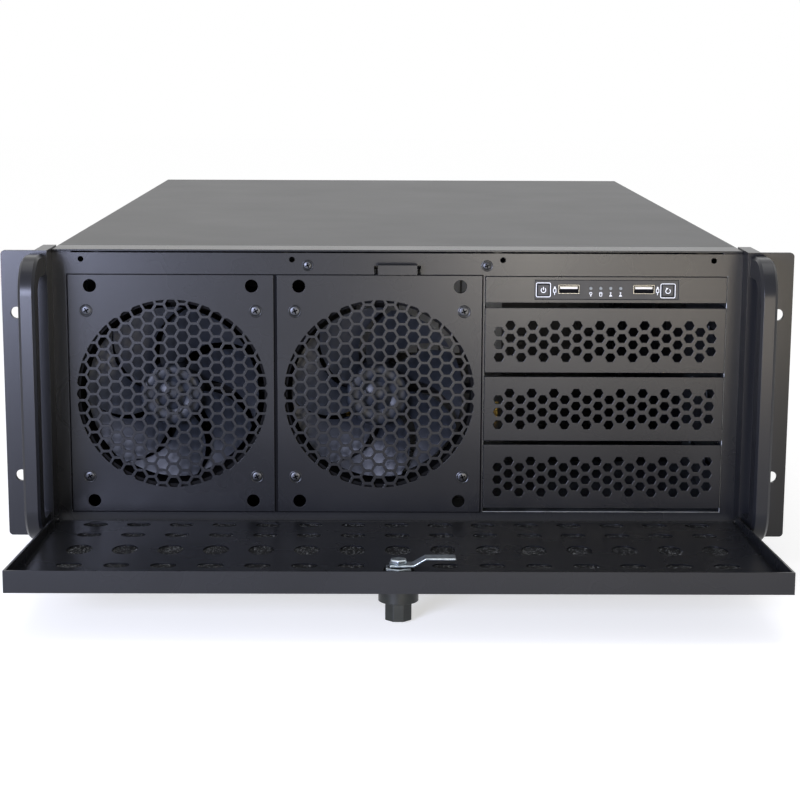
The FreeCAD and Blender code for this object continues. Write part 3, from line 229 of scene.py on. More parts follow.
def plastic(base, rough, shine=0.35):
    """Moulded plastic of one colour, whose spark-eroded grain makes it satin; shine is how much it reflects.

    The grain is drawn 0.4 mm wide, coarser than the real one, so that it shows.
    """
    def build(tree, place):
        cloud = add(tree, "ShaderNodeTexNoise", {"Vector": place, "Scale": 1 / (12 * MM)})
        dull = add(tree, "ShaderNodeMapRange", {"Value": cloud, "To Min": rough[0], "To Max": rough[1]})
        return {
            "Base Color": linear(base),
            "Specular IOR Level": shine,
            "Roughness": dull,
            "Normal": relief(tree, place, 0.4, 0.004),
        }
    return build


def lens(tree, place):
    """Unlit diffused lens: milky grey, with light that spreads a little under its skin."""
    return {
        "Base Color": linear("#7b7f7d"),
        "Roughness": 0.35,
        "Subsurface Weight": 0.2,
        "Subsurface Radius": (0.5 * MM,) * 3,
        "Specular IOR Level": 0.2,
    }


def laminate(tree, place):
    """Green solder resist over glass laminate: glossy, with the weave as a faint change of green."""
    weave = add(tree, "ShaderNodeTexNoise", {"Vector": place, "Scale": 1 / (0.8 * MM)})
    green = add(tree, "ShaderNodeValToRGB", {"Fac": weave}, stops=((0.3, "#0f3a22"), (0.7, "#16482c")))
    return {"Base Color": green, "Roughness": 0.3}


def brass_metal(tree, place):
    """Turned brass of the standoffs: warm and bright, with slightly uneven turning."""
    turning = add(tree, "ShaderNodeTexNoise", {"Vector": place, "Scale": 1 / (1.0 * MM)})
    return {
        "Base Color": linear("#c9a85a"),
        "Metallic": 1.0,
        "Roughness": add(tree, "ShaderNodeMapRange", {"Value": turning, "To Min": 0.25, "To Max": 0.35}),
    }


THREAD_PITCH = 0.55  # spacing of the filter's threads
PAINTED_GLINT = 0.6  # its glints, painted into the colour, are drawn this wide, coarser than real ones, so that they show
GAP_EDGE = 0.93  # height between threads above which the weave is open


def filter_weave(tree, place):
    """Woven nylon filter: crossed dark threads whose gaps let light through, and bright specks painted into
    its colour as glints.
    """
    level = add(tree, "ShaderNodeVectorRotate", {"Vector": place, "Angle": DOOR_TILT}, rotation_type="X_AXIS")
    axes = add(tree, "ShaderNodeSeparateXYZ", {"Vector": level}).outputs
    waves = []
    for axis in (axes["X"], axes["Y"]):
        turns = add(tree, "ShaderNodeMath", {0: axis, 1: math.pi / (THREAD_PITCH * MM)}, operation="MULTIPLY")
        wave = add(tree, "ShaderNodeMath", {0: turns}, operation="SINE")
        waves.append(add(tree, "ShaderNodeMath", {0: wave}, operation="ABSOLUTE"))
    thread = add(tree, "ShaderNodeMath", dict(enumerate(waves)), operation="MINIMUM")
    # painted glints: scattered cells of the weave are coloured light grey
    painted_glint_cells = add(tree, "ShaderNodeTexVoronoi", {"Vector": level, "Scale": 1 / (PAINTED_GLINT * MM)})
    painted_glint = add(tree, "ShaderNodeSeparateColor", {"Color": painted_glint_cells.outputs["Color"]})
    shade = add(tree, "ShaderNodeValToRGB", {"Fac": painted_glint}, stops=((0.9, "#060607"), (0.93, "#8a8c8c")))
    return {
        "Base Color": shade,
        "Roughness": 0.6,
        "Specular IOR Level": 0.1,
        "Alpha": add(tree, "ShaderNodeMath", {0: thread, 1: GAP_EDGE}, operation="LESS_THAN"),
        "Normal": add(tree, "ShaderNodeBump", {"Height": thread, "Distance": 0.15 * MM}),
    }


def white_print(tree, place):
    """White screen print of the signs: flat and even."""
    return {"Base Color": linear("#dfe0de"), "Roughness": 0.5}


PAINTED_SHADE_BLACK = plastic("#08080a", (0.6, 0.7), 0.05)  # painted shade: a near-black that swallows light, so what it lines reads as a dark depth
MATERIALS = {
    "black_steel": shader("black_powder_coat", powder_coat),
    "bare_steel": shader("zinc_coated_sheet", bare_sheet),
    "black_aluminium": shader("black_anodised_aluminium", handle_coat),
    # near-black and nearly without a sheen: partly the frame's own black plastic, partly painted shade, so the
    # cells at the grille's rim read dark
    "black_fan_plastic": shader("black_fan_frame_plastic", plastic("#0b0b0c", (0.6, 0.7), 0.05)),
    # smoother, so that the blades show as dark bluish grey behind the cells
    "fan_blade_plastic": shader("dark_fan_blade_plastic", plastic("#202329", (0.3, 0.4), 0.16)),
    "black_screws": shader("black_oxide_steel", black_oxide),
    "zinc_steel": shader("bright_zinc_plate", bright_zinc),
    "lock_metal": shader("black_plated_lock", lock_coat),
    "socket_steel": shader("nickel_plated_shell", socket_tin),
    # satin black under the white signs
    "label_plastic": shader("black_label_plastic", plastic("#1b1c1e", (0.35, 0.45))),
    # the same satin, a shade lighter
    "button_plastic": shader("black_button_plastic", plastic("#202124", (0.35, 0.45))),
    "indicator_lens": shader("milky_lens", lens),
    "board_laminate": shader("green_board_laminate", laminate),
    "brass": shader("turned_brass", brass_metal),
    "filter_mesh": shader("woven_nylon_filter", filter_weave),
}
PRINT = shader("white_screen_print", white_print)
OWN = {  # nodes whose skin differs from the rest of their slot
    "top_cover": shader("dulled_powder_coat", worn_coat),
    # the bulkhead wears painted shade, so the gaps round the fan plates read as dark lines
    "fan_bulkhead": shader("painted_shade_backing", PAINTED_SHADE_BLACK),
}


def skin(node):
    """The material that a node wears."""
    return OWN.get(node, MATERIALS[slot_of[node]])


# ---------------------------------------------------------------- pieces from the CAD nodes

def object_of(name, mesh, material):
    """A mesh as an object at the origin with one material."""
    made = bpy.data.objects.new(name, mesh)
    bpy.context.scene.collection.objects.link(made)
    mesh.materials.clear()
    mesh.materials.append(material)
    return made


def clean_copy(node):
    """A node's mesh with its seams joined and its flat faces made whole."""
    mesh = nodes[node].data.copy()
    if "custom_normal" in mesh.attributes:
        mesh.attributes.remove(mesh.attributes["custom_normal"])
    work = bmesh.new()
    work.from_mesh(mesh)
    bmesh.ops.remove_doubles(work, verts=work.verts, dist=1e-6)
    bmesh.ops.dissolve_limit(work, angle_limit=math.radians(1), verts=work.verts, edges=work.edges)
    work.to_mesh(mesh)
    work.free()
    return mesh


def settle(work, name):
    """What a work object's modifiers make of it, as one plain object."""
    final = work.evaluated_get(bpy.context.evaluated_depsgraph_get())
    mesh = bpy.data.meshes.new_from_object(final)
    material = work.data.materials[0]
    bpy.data.objects.remove(work)
    mesh.name = name
    return object_of(name, mesh, material)


def bevelled(work, width):
    """A small round on every sharp edge, so that edges catch the light."""
    edge = work.modifiers.new("edge", "BEVEL")
    edge.width = width * MM
    edge.segments = 2
    edge.limit_method = "ANGLE"
    edge.angle_limit = math.radians(30)
    edge.use_clamp_overlap = True
    edge.harden_normals = True
    return work


def put_on(piece, node):
    """A piece stands for a node, which is hidden: it rides on its body."""
    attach(piece, body_of(nodes[node])[0])
    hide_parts(node)
    return piece


def dress(node, width, cuts=()):
    """A node's shape with rounded edges; cuts are (tree, inputs) run before the rounding."""
    work = object_of(node + "_work", clean_copy(node), skin(node))
    work.data.polygons.foreach_set("use_smooth", [True] * len(work.data.polygons))
    for tree, inputs in cuts:
        run_tree(work, tree, inputs)
    return put_on(settle(bevelled(work, width), "looks_" + node), node)


# ---------------------------------------------------------------- geometry trees

def new_tree(name, counts, sizes, places):
    """A geometry tree that takes a geometry, a material, and the named whole numbers, sizes and vectors."""
    tree = bpy.data.node_groups.new(name, "GeometryNodeTree")
    kinds = {"NodeSocketGeometry": ("Geometry",), "NodeSocketMaterial": ("Material",),
             "NodeSocketInt": counts, "NodeSocketFloat": sizes, "NodeSocketVector": places}
    for kind, labels in kinds.items():
        for label in labels:
            tree.interface.new_socket(label, in_out="INPUT", socket_type=kind)
    tree.interface.new_socket("Geometry", in_out="OUTPUT", socket_type="NodeSocketGeometry")
    return tree, add(tree, "NodeGroupInput").outputs


def close_tree(tree, given, geometry):
    """Ends a tree: instances made real, one material, out."""
    real = add(tree, "GeometryNodeRealizeInstances", {"Geometry": geometry})
    painted = add(tree, "GeometryNodeSetMaterial", {"Geometry": real, "Material": given["Material"]})
    add(tree, "NodeGroupOutput", {"Geometry": painted})
    return tree


def run_tree(work, tree, inputs):
    """Adds a tree to a work object, each input set by its socket's identifier."""
    modifier = work.modifiers.new(tree.name, "NODES")
    modifier.node_group = tree
    for item in tree.interface.items_tree:
        if item.in_out == "INPUT" and item.name in inputs:
            modifier[item.identifier] = inputs[item.name]


def grid_points(tree, given, share):
    """A centred grid's points; every second column stands Stagger higher, and all sink by a share of that."""
    grid = add(tree, "GeometryNodeMeshGrid", {
        "Size X": given["Span X"], "Size Y": given["Span Y"],
        "Vertices X": given["Columns"], "Vertices Y": given["Rows"]})
    index = add(tree, "GeometryNodeInputIndex")
    passed = add(tree, "ShaderNodeMath", {0: index, 1: given["Rows"]}, operation="DIVIDE")
    column = add(tree, "ShaderNodeMath", {0: passed}, operation="FLOOR")
    second = add(tree, "ShaderNodeMath", {0: column, 1: 2.0}, operation="MODULO")
    part = add(tree, "ShaderNodeMath", {0: second, 1: share}, operation="SUBTRACT")
    height = add(tree, "ShaderNodeMath", {0: part, 1: given["Stagger"]}, operation="MULTIPLY")
    offset = add(tree, "ShaderNodeCombineXYZ", {"Y": height})
    return add(tree, "GeometryNodeSetPosition", {"Geometry": grid, "Offset": offset})


def grid_at(node, columns, rows, pitch, centre, slope=UPRIGHT, stagger=0.0):
    """What each grid's tree is given for a node's piece; sizes in mm."""
    return {
        "Columns": columns, "Rows": rows, "Stagger": stagger * MM,
        "Span X": (columns - 1) * pitch[0] * MM, "Span Y": (rows - 1) * pitch[1] * MM,
        "Centre": [v * MM for v in centre], "Slope": slope, "Material": skin(node)}


def cut_out(tree, given, cutters):
    """Ends a tree: the cutters are set at Centre, turned by Slope and taken out of the geometry."""
    placed = add(tree, "GeometryNodeTransform", {
        "Geometry": cutters, "Translation": given["Centre"], "Rotation": given["Slope"]})
    cut = add(tree, "GeometryNodeMeshBoolean", {"Mesh 1": given["Geometry"], "Mesh 2": placed},
              operation="DIFFERENCE", solver="EXACT")
    return close_tree(tree, given, cut)


def hole_tree():
    """Cuts a grid of holes: polygons of that many Sides, round-ended by Stretch X or oval by Stretch Y."""
    tree, given = new_tree(
        "hole_grid", ("Columns", "Rows", "Sides"),
        ("Span X", "Span Y", "Stagger", "Radius", "Stretch X", "Stretch Y", "Turn", "Depth"),
        ("Centre", "Slope"))
    cutter = add(tree, "GeometryNodeMeshCylinder", {
        "Vertices": given["Sides"], "Radius": given["Radius"], "Depth": given["Depth"]})
    turn = add(tree, "ShaderNodeCombineXYZ", {"Z": given["Turn"]})
    turned = add(tree, "GeometryNodeTransform", {"Geometry": cutter, "Rotation": turn})
    axes = add(tree, "ShaderNodeSeparateXYZ", {"Vector": add(tree, "GeometryNodeInputPosition")}).outputs
    side = add(tree, "ShaderNodeMath", {0: axes["X"]}, operation="SIGN")
    taller = add(tree, "ShaderNodeMath", {0: given["Stretch Y"], 1: given["Radius"]}, operation="DIVIDE")
    pull = add(tree, "ShaderNodeCombineXYZ", {
        "X": add(tree, "ShaderNodeMath", {0: side, 1: given["Stretch X"]}, operation="MULTIPLY"),
        "Y": add(tree, "ShaderNodeMath", {0: axes["Y"], 1: taller}, operation="MULTIPLY")})
    stretched = add(tree, "GeometryNodeSetPosition", {"Geometry": turned, "Offset": pull})
    cutters = add(tree, "GeometryNodeInstanceOnPoints", {
        "Points": grid_points(tree, given, 0.5), "Instance": stretched})
    return cut_out(tree, given, cutters)


HOLES = hole_tree()


def holes(node, columns, rows, pitch, radius, centre, depth=12.0, sides=24, stretch=(0, 0), turn=None, **lie):
    """One grid of holes for dress(), in mm; lie is the grid's slope and stagger."""
    return HOLES, {
        **grid_at(node, columns, rows, pitch, centre, **lie), "Sides": sides, "Radius": radius * MM,
        "Stretch X": stretch[0] * MM, "Stretch Y": stretch[1] * MM,
        "Turn": math.pi / sides if turn is None else turn, "Depth": depth * MM}


def facing(x, height):
    """A place on the front panel's face, in mm: height from the case's underside."""
    return (x, FACE, height + UNDERSIDE)


# ---------------------------------------------------------------- bay covers with their hexagonal vents

COVER_COLUMNS, COVER_ROWS = 20, 3
COVER_PITCH, COVER_ROW = 6.94, 8.05  # from column to column, and from row to row
COVER_HEX = 5.3  # a vent across its flats
COVER_LEFT = 63.4  # the first column's place from the case's middle
COVER_HEIGHTS = {"bay_cover_bottom": 34.25, "bay_cover_middle": 77.6, "bay_cover_top": 120.4}

for node, height in COVER_HEIGHTS.items():
    middle = facing(COVER_LEFT + (COVER_COLUMNS - 1) * COVER_PITCH / 2, height)
    dress(node, 0.35, [holes(
        node, COVER_COLUMNS, COVER_ROWS, (COVER_PITCH, COVER_ROW), COVER_HEX / math.sqrt(3), middle,
        sides=6, turn=0.0, stagger=COVER_ROW / 2)])


# ---------------------------------------------------------------- front panel with the holes of its strip

STRIP_SCREWS = (110.6, 167.4)  # the front strip's screws: from each other, and above the underside
STRIP_HOLES = (130.2, 171.0)  # its four small holes, likewise

dress("front_panel", 0.35, [
    holes("front_panel", 4, 1, (STRIP_HOLES[0], 0), 1.8, facing(0, STRIP_HOLES[1]), 4.0),
    holes("front_panel", 2, 1, (STRIP_SCREWS[0], 0), 2.5, facing(0, STRIP_SCREWS[1]), 4.0)])


# ---------------------------------------------------------------- door with its rows of vents

ROUND_ENDED, OVAL = (5.5, (2.0, 0)), (7.5, (0, 4.5))  # (radius, stretch) of the door's vents
DOOR_ROWS = {18.7: ROUND_ENDED, 45.9: ROUND_ENDED, 82.9: OVAL, 120.0: ROUND_ENDED, 147.2: ROUND_ENDED}
DOOR_COLUMNS, DOOR_PITCH = 15, 26.47


def on_door(u):
    """The place, in mm, of a point on the open door u mm from its lower edge."""
    return Matrix.Rotation(DOOR_TILT, 3, "X") @ Vector((0.0, DOOR_BACK - u, 0.0)) + Vector(DOOR_AXIS)


def door_holes(node):
    """The rows of vents through one of the door's sheets."""
    return [holes(node, DOOR_COLUMNS, 1, (DOOR_PITCH, 0), radius, on_door(u), sides=20, stretch=stretch,
                  slope=(DOOR_TILT, 0.0, 0.0)) for u, (radius, stretch) in DOOR_ROWS.items()]


dress("door", 0.5, door_holes("door"))
dress("filter_retainer", 0.25, door_holes("filter_retainer"))


# ---------------------------------------------------------------- the other sheets and small solid parts

BEVELS = {  # the round on each node's edges
    "chassis_tray": 0.4, "top_cover": 0.4, "rear_panel": 0.35, "ear_left": 0.5, "ear_right": 0.5,
    "top_rail": 0.4, "cross_brace": 0.4, "fan_bulkhead": 0.35, "drive_cage": 0.35, "psu_shelf": 0.35,
    "io_strip": 0.35, "io_label_panel": 0.2, "lock_cam": 0.6, "lock_collar": 0.4, "lock_knob": 0.5,
    "lock_nut": 0.3, "cam_nut": 0.9, "power_button": 0.3, "reset_button": 0.3, "usb_port_left": 0.12,
    "usb_port_right": 0.12, "slot_covers": 0.2, "handle_left": 1.2, "handle_right": 1.2,
    "fan_frame_left": 0.4, "fan_frame_right": 0.4, "psu_blank": 0.2, "shield_blank": 0.2,
}

for node, width in BEVELS.items():
    dress(node, width)


# ---------------------------------------------------------------- cross-head screws

# a screw's slot, and the thin ring round it, as shares of its head's radius
SCREW_SHARES = {"Slot Length": 1.15, "Slot Width": 0.26, "Ring Radius": 1.2, "Ring Round": 0.12}


def screw_tree():
    """A grid of flush screws: each a domed head with a cross slot, in a thin raised ring."""
    tree, given = new_tree(
        "cross_head_screws", ("Columns", "Rows"),
        ("Span X", "Span Y", "Stagger", "Head", "Rise", "Turn", *SCREW_SHARES), ("Centre", "Slope"))
    ball = add(tree, "GeometryNodeMeshUVSphere", {"Segments": 28, "Rings": 10, "Radius": given["Head"]})
    dome = add(tree, "ShaderNodeMath", {0: given["Rise"], 1: given["Head"]}, operation="DIVIDE")
    flat = add(tree, "ShaderNodeCombineXYZ", {"X": 1.0, "Y": 1.0, "Z": dome})
    head = add(tree, "GeometryNodeTransform", {"Geometry": ball, "Scale": flat})
    top = add(tree, "ShaderNodeCombineXYZ", {"Z": given["Rise"]})
    turn = add(tree, "ShaderNodeCombineXYZ", {"Z": given["Turn"]})
    for along, across in (("Slot Length", "Slot Width"), ("Slot Width", "Slot Length")):
        size = add(tree, "ShaderNodeCombineXYZ", {"X": given[along], "Y": given[across], "Z": given["Head"]})
        cube = add(tree, "GeometryNodeMeshCube", {"Size": size})
        slot = add(tree, "GeometryNodeTransform", {"Geometry": cube, "Translation": top, "Rotation": turn})
        head = add(tree, "GeometryNodeMeshBoolean", {"Mesh 1": head, "Mesh 2": slot},
                   operation="DIFFERENCE", solver="EXACT")
    path = add(tree, "GeometryNodeCurvePrimitiveCircle", {"Resolution": 32, "Radius": given["Ring Radius"]})
    section = add(tree, "GeometryNodeCurvePrimitiveCircle", {"Resolution": 8, "Radius": given["Ring Round"]})
    ring = add(tree, "GeometryNodeCurveToMesh", {"Curve": path, "Profile Curve": section})
    screw = add(tree, "GeometryNodeJoinGeometry", {"Geometry": [head, ring]})
    points = grid_points(tree, given, 0.0)
    many = add(tree, "GeometryNodeInstanceOnPoints", {"Points": points, "Instance": screw})
    placed = add(tree, "GeometryNodeTransform", {
        "Geometry": many, "Translation": given["Centre"], "Rotation": given["Slope"]})
    both = add(tree, "GeometryNodeJoinGeometry", {"Geometry": [placed, given["Geometry"]]})
    return close_tree(tree, given, both)


SCREWS = screw_tree()


def rounded(piece, sharp):
    """Smooth faces, with an edge kept where they meet at more than sharp degrees."""
    piece.data.shade_smooth()
    piece.data.set_sharp_from_angle(angle=math.radians(sharp))
    return piece


def screws(node, grids, head, rise):
    """A node's screws as (columns, rows, pitch, centre, turn) grids of heads on the face, in mm."""
    work = object_of(node + "_work", bpy.data.meshes.new(node), skin(node))
    shape = {name: share * head * MM for name, share in SCREW_SHARES.items()}
    for columns, rows, pitch, centre, turn in grids:
        run_tree(work, SCREWS, {
            **grid_at(node, columns, rows, pitch, centre), **shape,
            "Head": head * MM, "Rise": rise * MM, "Turn": turn})
    put_on(rounded(settle(work, "looks_" + node), 40), node)


PLATES = {"left": -140.2, "right": -11.0}  # the fan plates' centres from the case's middle
PLATE_MIDDLE = 86.4  # their height above the underside
PLATE_SCREWS = (105.0, 105.0)  # from screw to screw on a plate

# each plate's screws were driven home at another angle
screws("fan_plate_screws", [
    (2, 2, PLATE_SCREWS, facing(x, PLATE_MIDDLE), 0.5 + x / 90) for x in PLATES.values()], 3.05, 0.4)
screws("strip_screws", [(2, 1, (STRIP_SCREWS[0], 0.0), facing(0, STRIP_SCREWS[1]), 0.3)], 2.7, 0.6)


# ---------------------------------------------------------------- fan plates with their honeycomb

def grille_tree():
    """Cuts a honeycomb through a sheet; the cells at the rim are clipped by the circle of radius Reach."""
    tree, given = new_tree(
        "honeycomb_grille", ("Columns", "Rows"),
        ("Span X", "Span Y", "Stagger", "Cell Radius", "Reach", "Depth", "Disc Depth"), ("Centre", "Slope"))
    cell = add(tree, "GeometryNodeMeshCylinder", {
        "Vertices": 6, "Radius": given["Cell Radius"], "Depth": given["Depth"]})
    points = grid_points(tree, given, 0.0)
    many = add(tree, "GeometryNodeInstanceOnPoints", {"Points": points, "Instance": cell})
    cells = add(tree, "GeometryNodeRealizeInstances", {"Geometry": many})
    disc = add(tree, "GeometryNodeMeshCylinder", {
        "Vertices": 96, "Radius": given["Reach"], "Depth": given["Disc Depth"]})
    kept = add(tree, "GeometryNodeMeshBoolean", {"Mesh 2": [cells, disc]},
               operation="INTERSECT", solver="EXACT")
    return cut_out(tree, given, kept)


GRILLE = grille_tree()
CELLS = 17  # columns and rows of cells before the circle clips them
CELL_PITCH = 8.1  # from cell to cell
CELL_FLATS = 6.4  # a cell across its flats
GRILLE_REACH = 59.4  # radius of the honeycomb
PLATE_CUT = 6.0  # depth of the cutters, well over the plate's thickness
PLATE_TRIM = 0.25  # taken off each edge so that the gap round a plate reads as a dark line
PLATE_HOLES = (((100.0, 136.1), 4.0), (PLATE_SCREWS, 2.6))  # (spacing, radius) of its holes at the corners


def block(low, high):
    """A plain box mesh between two corners, in metres."""
    mesh = bpy.data.meshes.new("block")
    work = bmesh.new()
    bmesh.ops.create_cube(work, size=1.0)
    for corner in work.verts:
        corner.co = [(a + b) / 2 + c * (b - a) for a, b, c in zip(low, high, corner.co)]
    for face in work.faces:
        face.smooth = True
    work.to_mesh(mesh)
    work.free()
    return mesh


for side, x in PLATES.items():
    node = "fan_plate_" + side
    low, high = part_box(node)
    trim = Vector((PLATE_TRIM, 0, PLATE_TRIM)) * MM
    centre = facing(x, PLATE_MIDDLE)
    pitch = (CELL_PITCH * math.cos(math.radians(30)), CELL_PITCH)
    work = object_of(node + "_work", block(low + trim, high - trim), skin(node))
    run_tree(work, GRILLE, {
        **grid_at(node, CELLS, CELLS, pitch, centre, stagger=CELL_PITCH / 2),
        "Cell Radius": CELL_FLATS / math.sqrt(3) * MM, "Reach": GRILLE_REACH * MM,
        "Depth": PLATE_CUT * MM, "Disc Depth": 0.9 * PLATE_CUT * MM})
    for spacing, radius in PLATE_HOLES:
        run_tree(work, *holes(node, 2, 2, spacing, radius, centre, PLATE_CUT, sides=28))
    put_on(settle(bevelled(work, 0.22), "looks_" + node), node)


# ---------------------------------------------------------------- insides of the sockets

# painted shade: a black box inside each socket's shell, so its depth reads dark
SHADE_LINING = shader("black_socket_lining", PAINTED_SHADE_BLACK)
TONGUE = shader("ivory_socket_tongue", plastic("#cfccc2", (0.4, 0.5), 0.2))  # pale, so it shows in the dark
SHELL_WALL, SHELL_BACK = 0.45, 0.5  # a socket's shell, at its sides and at its back
SHADE_LINING_IN = 1.3  # how far behind the mouth the painted shade lining starts
TONGUE_SIDE = 1.3  # from the shell's outside to the tongue
TONGUE_IN, TONGUE_BACK = 0.35, 1.5  # where the tongue starts and ends behind the mouth
TONGUE_LOW, TONGUE_HIGH = 0.15, 1.35  # its underside and its top above the socket's middle

for node in ("usb_port_left", "usb_port_right"):
    low, high = (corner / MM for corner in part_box(node))
    middle = (low.z + high.z) / 2
    lining = ((low.x + SHELL_WALL, low.y + SHADE_LINING_IN, low.z + SHELL_WALL),
              (high.x - SHELL_WALL, high.y - SHELL_BACK, high.z - SHELL_WALL))
    tongue = ((low.x + TONGUE_SIDE, low.y + TONGUE_IN, middle + TONGUE_LOW),
              (high.x - TONGUE_SIDE, low.y + TONGUE_BACK, middle + TONGUE_HIGH))
    for name, material, corners in (("lining", SHADE_LINING, lining), ("tongue", TONGUE, tongue)):
        mesh = block(*([v * MM for v in corner] for corner in corners))
        work = object_of(name + "_work", mesh, material)
        piece = settle(bevelled(work, 0.15), "looks_%s_%s" % (name, node))
        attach(piece, body_of(nodes[node])[0])


# ---------------------------------------------------------------- fan rotors

BLADES = 7
HUB_RADIUS, TIP_RADIUS = 19.5, 54.0
BLADE_THICK, EDGE_THICK = 1.4, 0.25  # a blade's thickness gained in its middle, and at its edges
BLADE_WRAP, BLADE_SWEEP = 46, 34  # degrees that a blade covers, and that its tip stands ahead of its root
BLADE_CUP = 2.4  # how deep the tip is cupped
BLADE_ROOM = 6.0  # by how much the blades are shallower than the hub


def around_tree():
    """Turns copies of a shape round the Y axis through Centre."""
    tree, given = new_tree("around_an_axis", ("Count",), (), ("Centre",))
    line = add(tree, "GeometryNodeMeshLine", {"Count": given["Count"], "Offset": (0.0, 0.0, 0.0)})
    step = add(tree, "ShaderNodeMath", {0: 2 * math.pi, 1: given["Count"]}, operation="DIVIDE")
    index = add(tree, "GeometryNodeInputIndex")
    angle = add(tree, "ShaderNodeMath", {0: index, 1: step}, operation="MULTIPLY")
    turn = add(tree, "ShaderNodeCombineXYZ", {"Y": angle})
    many = add(tree, "GeometryNodeInstanceOnPoints", {
        "Points": line, "Instance": given["Geometry"], "Rotation": turn})
    placed = add(tree, "GeometryNodeTransform", {"Geometry": many, "Translation": given["Centre"]})
    return close_tree(tree, given, placed)


AROUND = around_tree()


def closed_mesh(name, work):
    """A work mesh as a mesh whose faces point outwards."""
    mesh = bpy.data.meshes.new(name)
    bmesh.ops.recalc_face_normals(work, faces=work.faces)
    work.to_mesh(mesh)
    work.free()
    return mesh


def blade_mesh(depth):
    """One swept, twisted and cupped blade as a closed shell; depth is its depth along the axis."""
    work = bmesh.new()
    steps = 8
    sheets = []
    for side in (-1, 1):
        sheet = []
        for i in range(steps + 1):
            out = i / steps
            radius = HUB_RADIUS - 1 + (TIP_RADIUS - HUB_RADIUS + 1) * out
            line = []
            for j in range(steps + 1):
                along = j / steps - 0.5
                angle = math.radians(BLADE_WRAP * along * (0.82 + 0.25 * out) + BLADE_SWEEP * out ** 1.4)
                rise = along * depth * (0.95 - 0.35 * out) + BLADE_CUP * (1 - 4 * along * along) * out
                thick = BLADE_THICK * (1 - (2 * abs(along)) ** 3) + EDGE_THICK
                place = (radius * math.sin(angle), rise + side * thick / 2, radius * math.cos(angle))
                line.append(work.verts.new([v * MM for v in place]))
            sheet.append(line)
        for low, high in zip(sheet, sheet[1:]):
            for j in range(steps):
                work.faces.new((low[j], high[j], high[j + 1], low[j + 1]))
        sheets.append(sheet)
    # the rim is closed by a strip between the two sheets' outlines
    back, front = (
        sheet[0] + [line[-1] for line in sheet[1:]] + sheet[-1][-2::-1] + [line[0] for line in sheet[-2:0:-1]]
        for sheet in sheets)
    for k in range(len(back)):
        work.faces.new((back[k - 1], back[k], front[k], front[k - 1]))
    return closed_mesh("blade", work)


def turned_hub(front, back):
    """A turned cup between two depths, closed at both ends: a groove in its face, and a rounded front edge."""
    outline = [(0.0, front), (8.6, front), (9.0, front + 0.35), (9.4, front), (HUB_RADIUS - 2.2, front),
               (HUB_RADIUS - 0.7, front + 0.6), (HUB_RADIUS, front + 2.2), (HUB_RADIUS, back), (0.0, back)]
    work = bmesh.new()
    around = 48
    turns = [2 * math.pi * k / around for k in range(around)]
    last = [work.verts.new((0, front * MM, 0))]
    for radius, y in outline[1:]:
        places = [(radius * math.sin(t), y, radius * math.cos(t)) for t in (turns if radius else turns[:1])]
        now = [work.verts.new([v * MM for v in place]) for place in places]
        for k in range(around):
            n = (k + 1) % around
            ring = [last[k % len(last)], last[n % len(last)], now[n % len(now)], now[k % len(now)]]
            work.faces.new(list(dict.fromkeys(ring)))
        last = now
    return closed_mesh("hub", work)


for side, x in PLATES.items():
    node = "fan_rotor_" + side
    low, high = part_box(node)
    centre = [(a + b) / 2 for a, b in zip(low, high)]
    half = (high.y - low.y) / 2 / MM
    for name, mesh, count in (
            ("blades", blade_mesh(2 * half - BLADE_ROOM), BLADES), ("hub", turned_hub(-half, half), 1)):
        work = object_of(node + "_" + name, mesh, skin(node))
        run_tree(work, AROUND, {"Count": count, "Centre": centre, "Material": skin(node)})
        put_on(rounded(settle(work, "looks_" + name + "_" + side), 50), node)


# ---------------------------------------------------------------- printed signs

INK = 0.04  # how far the print stands in front of what it's printed on
BOLD, FINE = 0.42, 0.35  # widths of the large signs' lines and of the plug signs' lines
SIGN_ARC = 1.45  # radius of the power and reset signs
BUTTON_FRAMES = ((85.9, 94.7, 148.3, 157.0), (162.95, 171.9, 147.9, 156.6))  # (left, right, bottom, top)
PLUGS = (97.3, 161.0)  # where the plug signs stand
LABEL_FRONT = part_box("io_label_panel")[0].y / MM  # depth of the label's face


def ink(work, x, height, front):
    """A point of print in front of a face at depth front; height is from the case's underside, in mm."""
    return work.verts.new((x * MM, (front - INK) * MM, (height + UNDERSIDE) * MM))


def stroke(work, points, width, closed=False, front=LABEL_FRONT):
    """A line of print through (x, height) points in mm, its corners mitred."""
    count = len(points)
    edges = []
    for i, (x, z) in enumerate(points):
        ways = []
        if i or closed:
            ways.append(Vector((x - points[i - 1][0], z - points[i - 1][1])).normalized())
        if i < count - 1 or closed:
            after = points[(i + 1) % count]
            ways.append(Vector((after[0] - x, after[1] - z)).normalized())
        way = sum(ways, Vector((0, 0))).normalized()
        reach = width / 2 / max(0.5, way.dot(ways[0]))
        edges.append([ink(work, x + s * reach * -way.y, z + s * reach * way.x, front) for s in (1, -1)])
    for i in range(count if closed else count - 1):
        (a, b), (c, d) = edges[i], edges[(i + 1) % count]
        work.faces.new((a, c, d, b))


def patch(work, points, front=LABEL_FRONT):
    """A filled shape of print with (x, height) corners in mm."""
    work.faces.new([ink(work, x, z, front) for x, z in points])


def bar(work, x, half, low, high):
    """A filled upright rectangle of print on the label, in mm."""
    patch(work, [(x - half, low), (x + half, low), (x + half, high), (x - half, high)])


def arc(x, z, radius, start, end, steps=16):
    """Points of an arc, degrees anticlockwise from the right."""
    turns = [math.radians(start + (end - start) * i / steps) for i in range(steps + 1)]
    return [(x + radius * math.cos(t), z + radius * math.sin(t)) for t in turns]


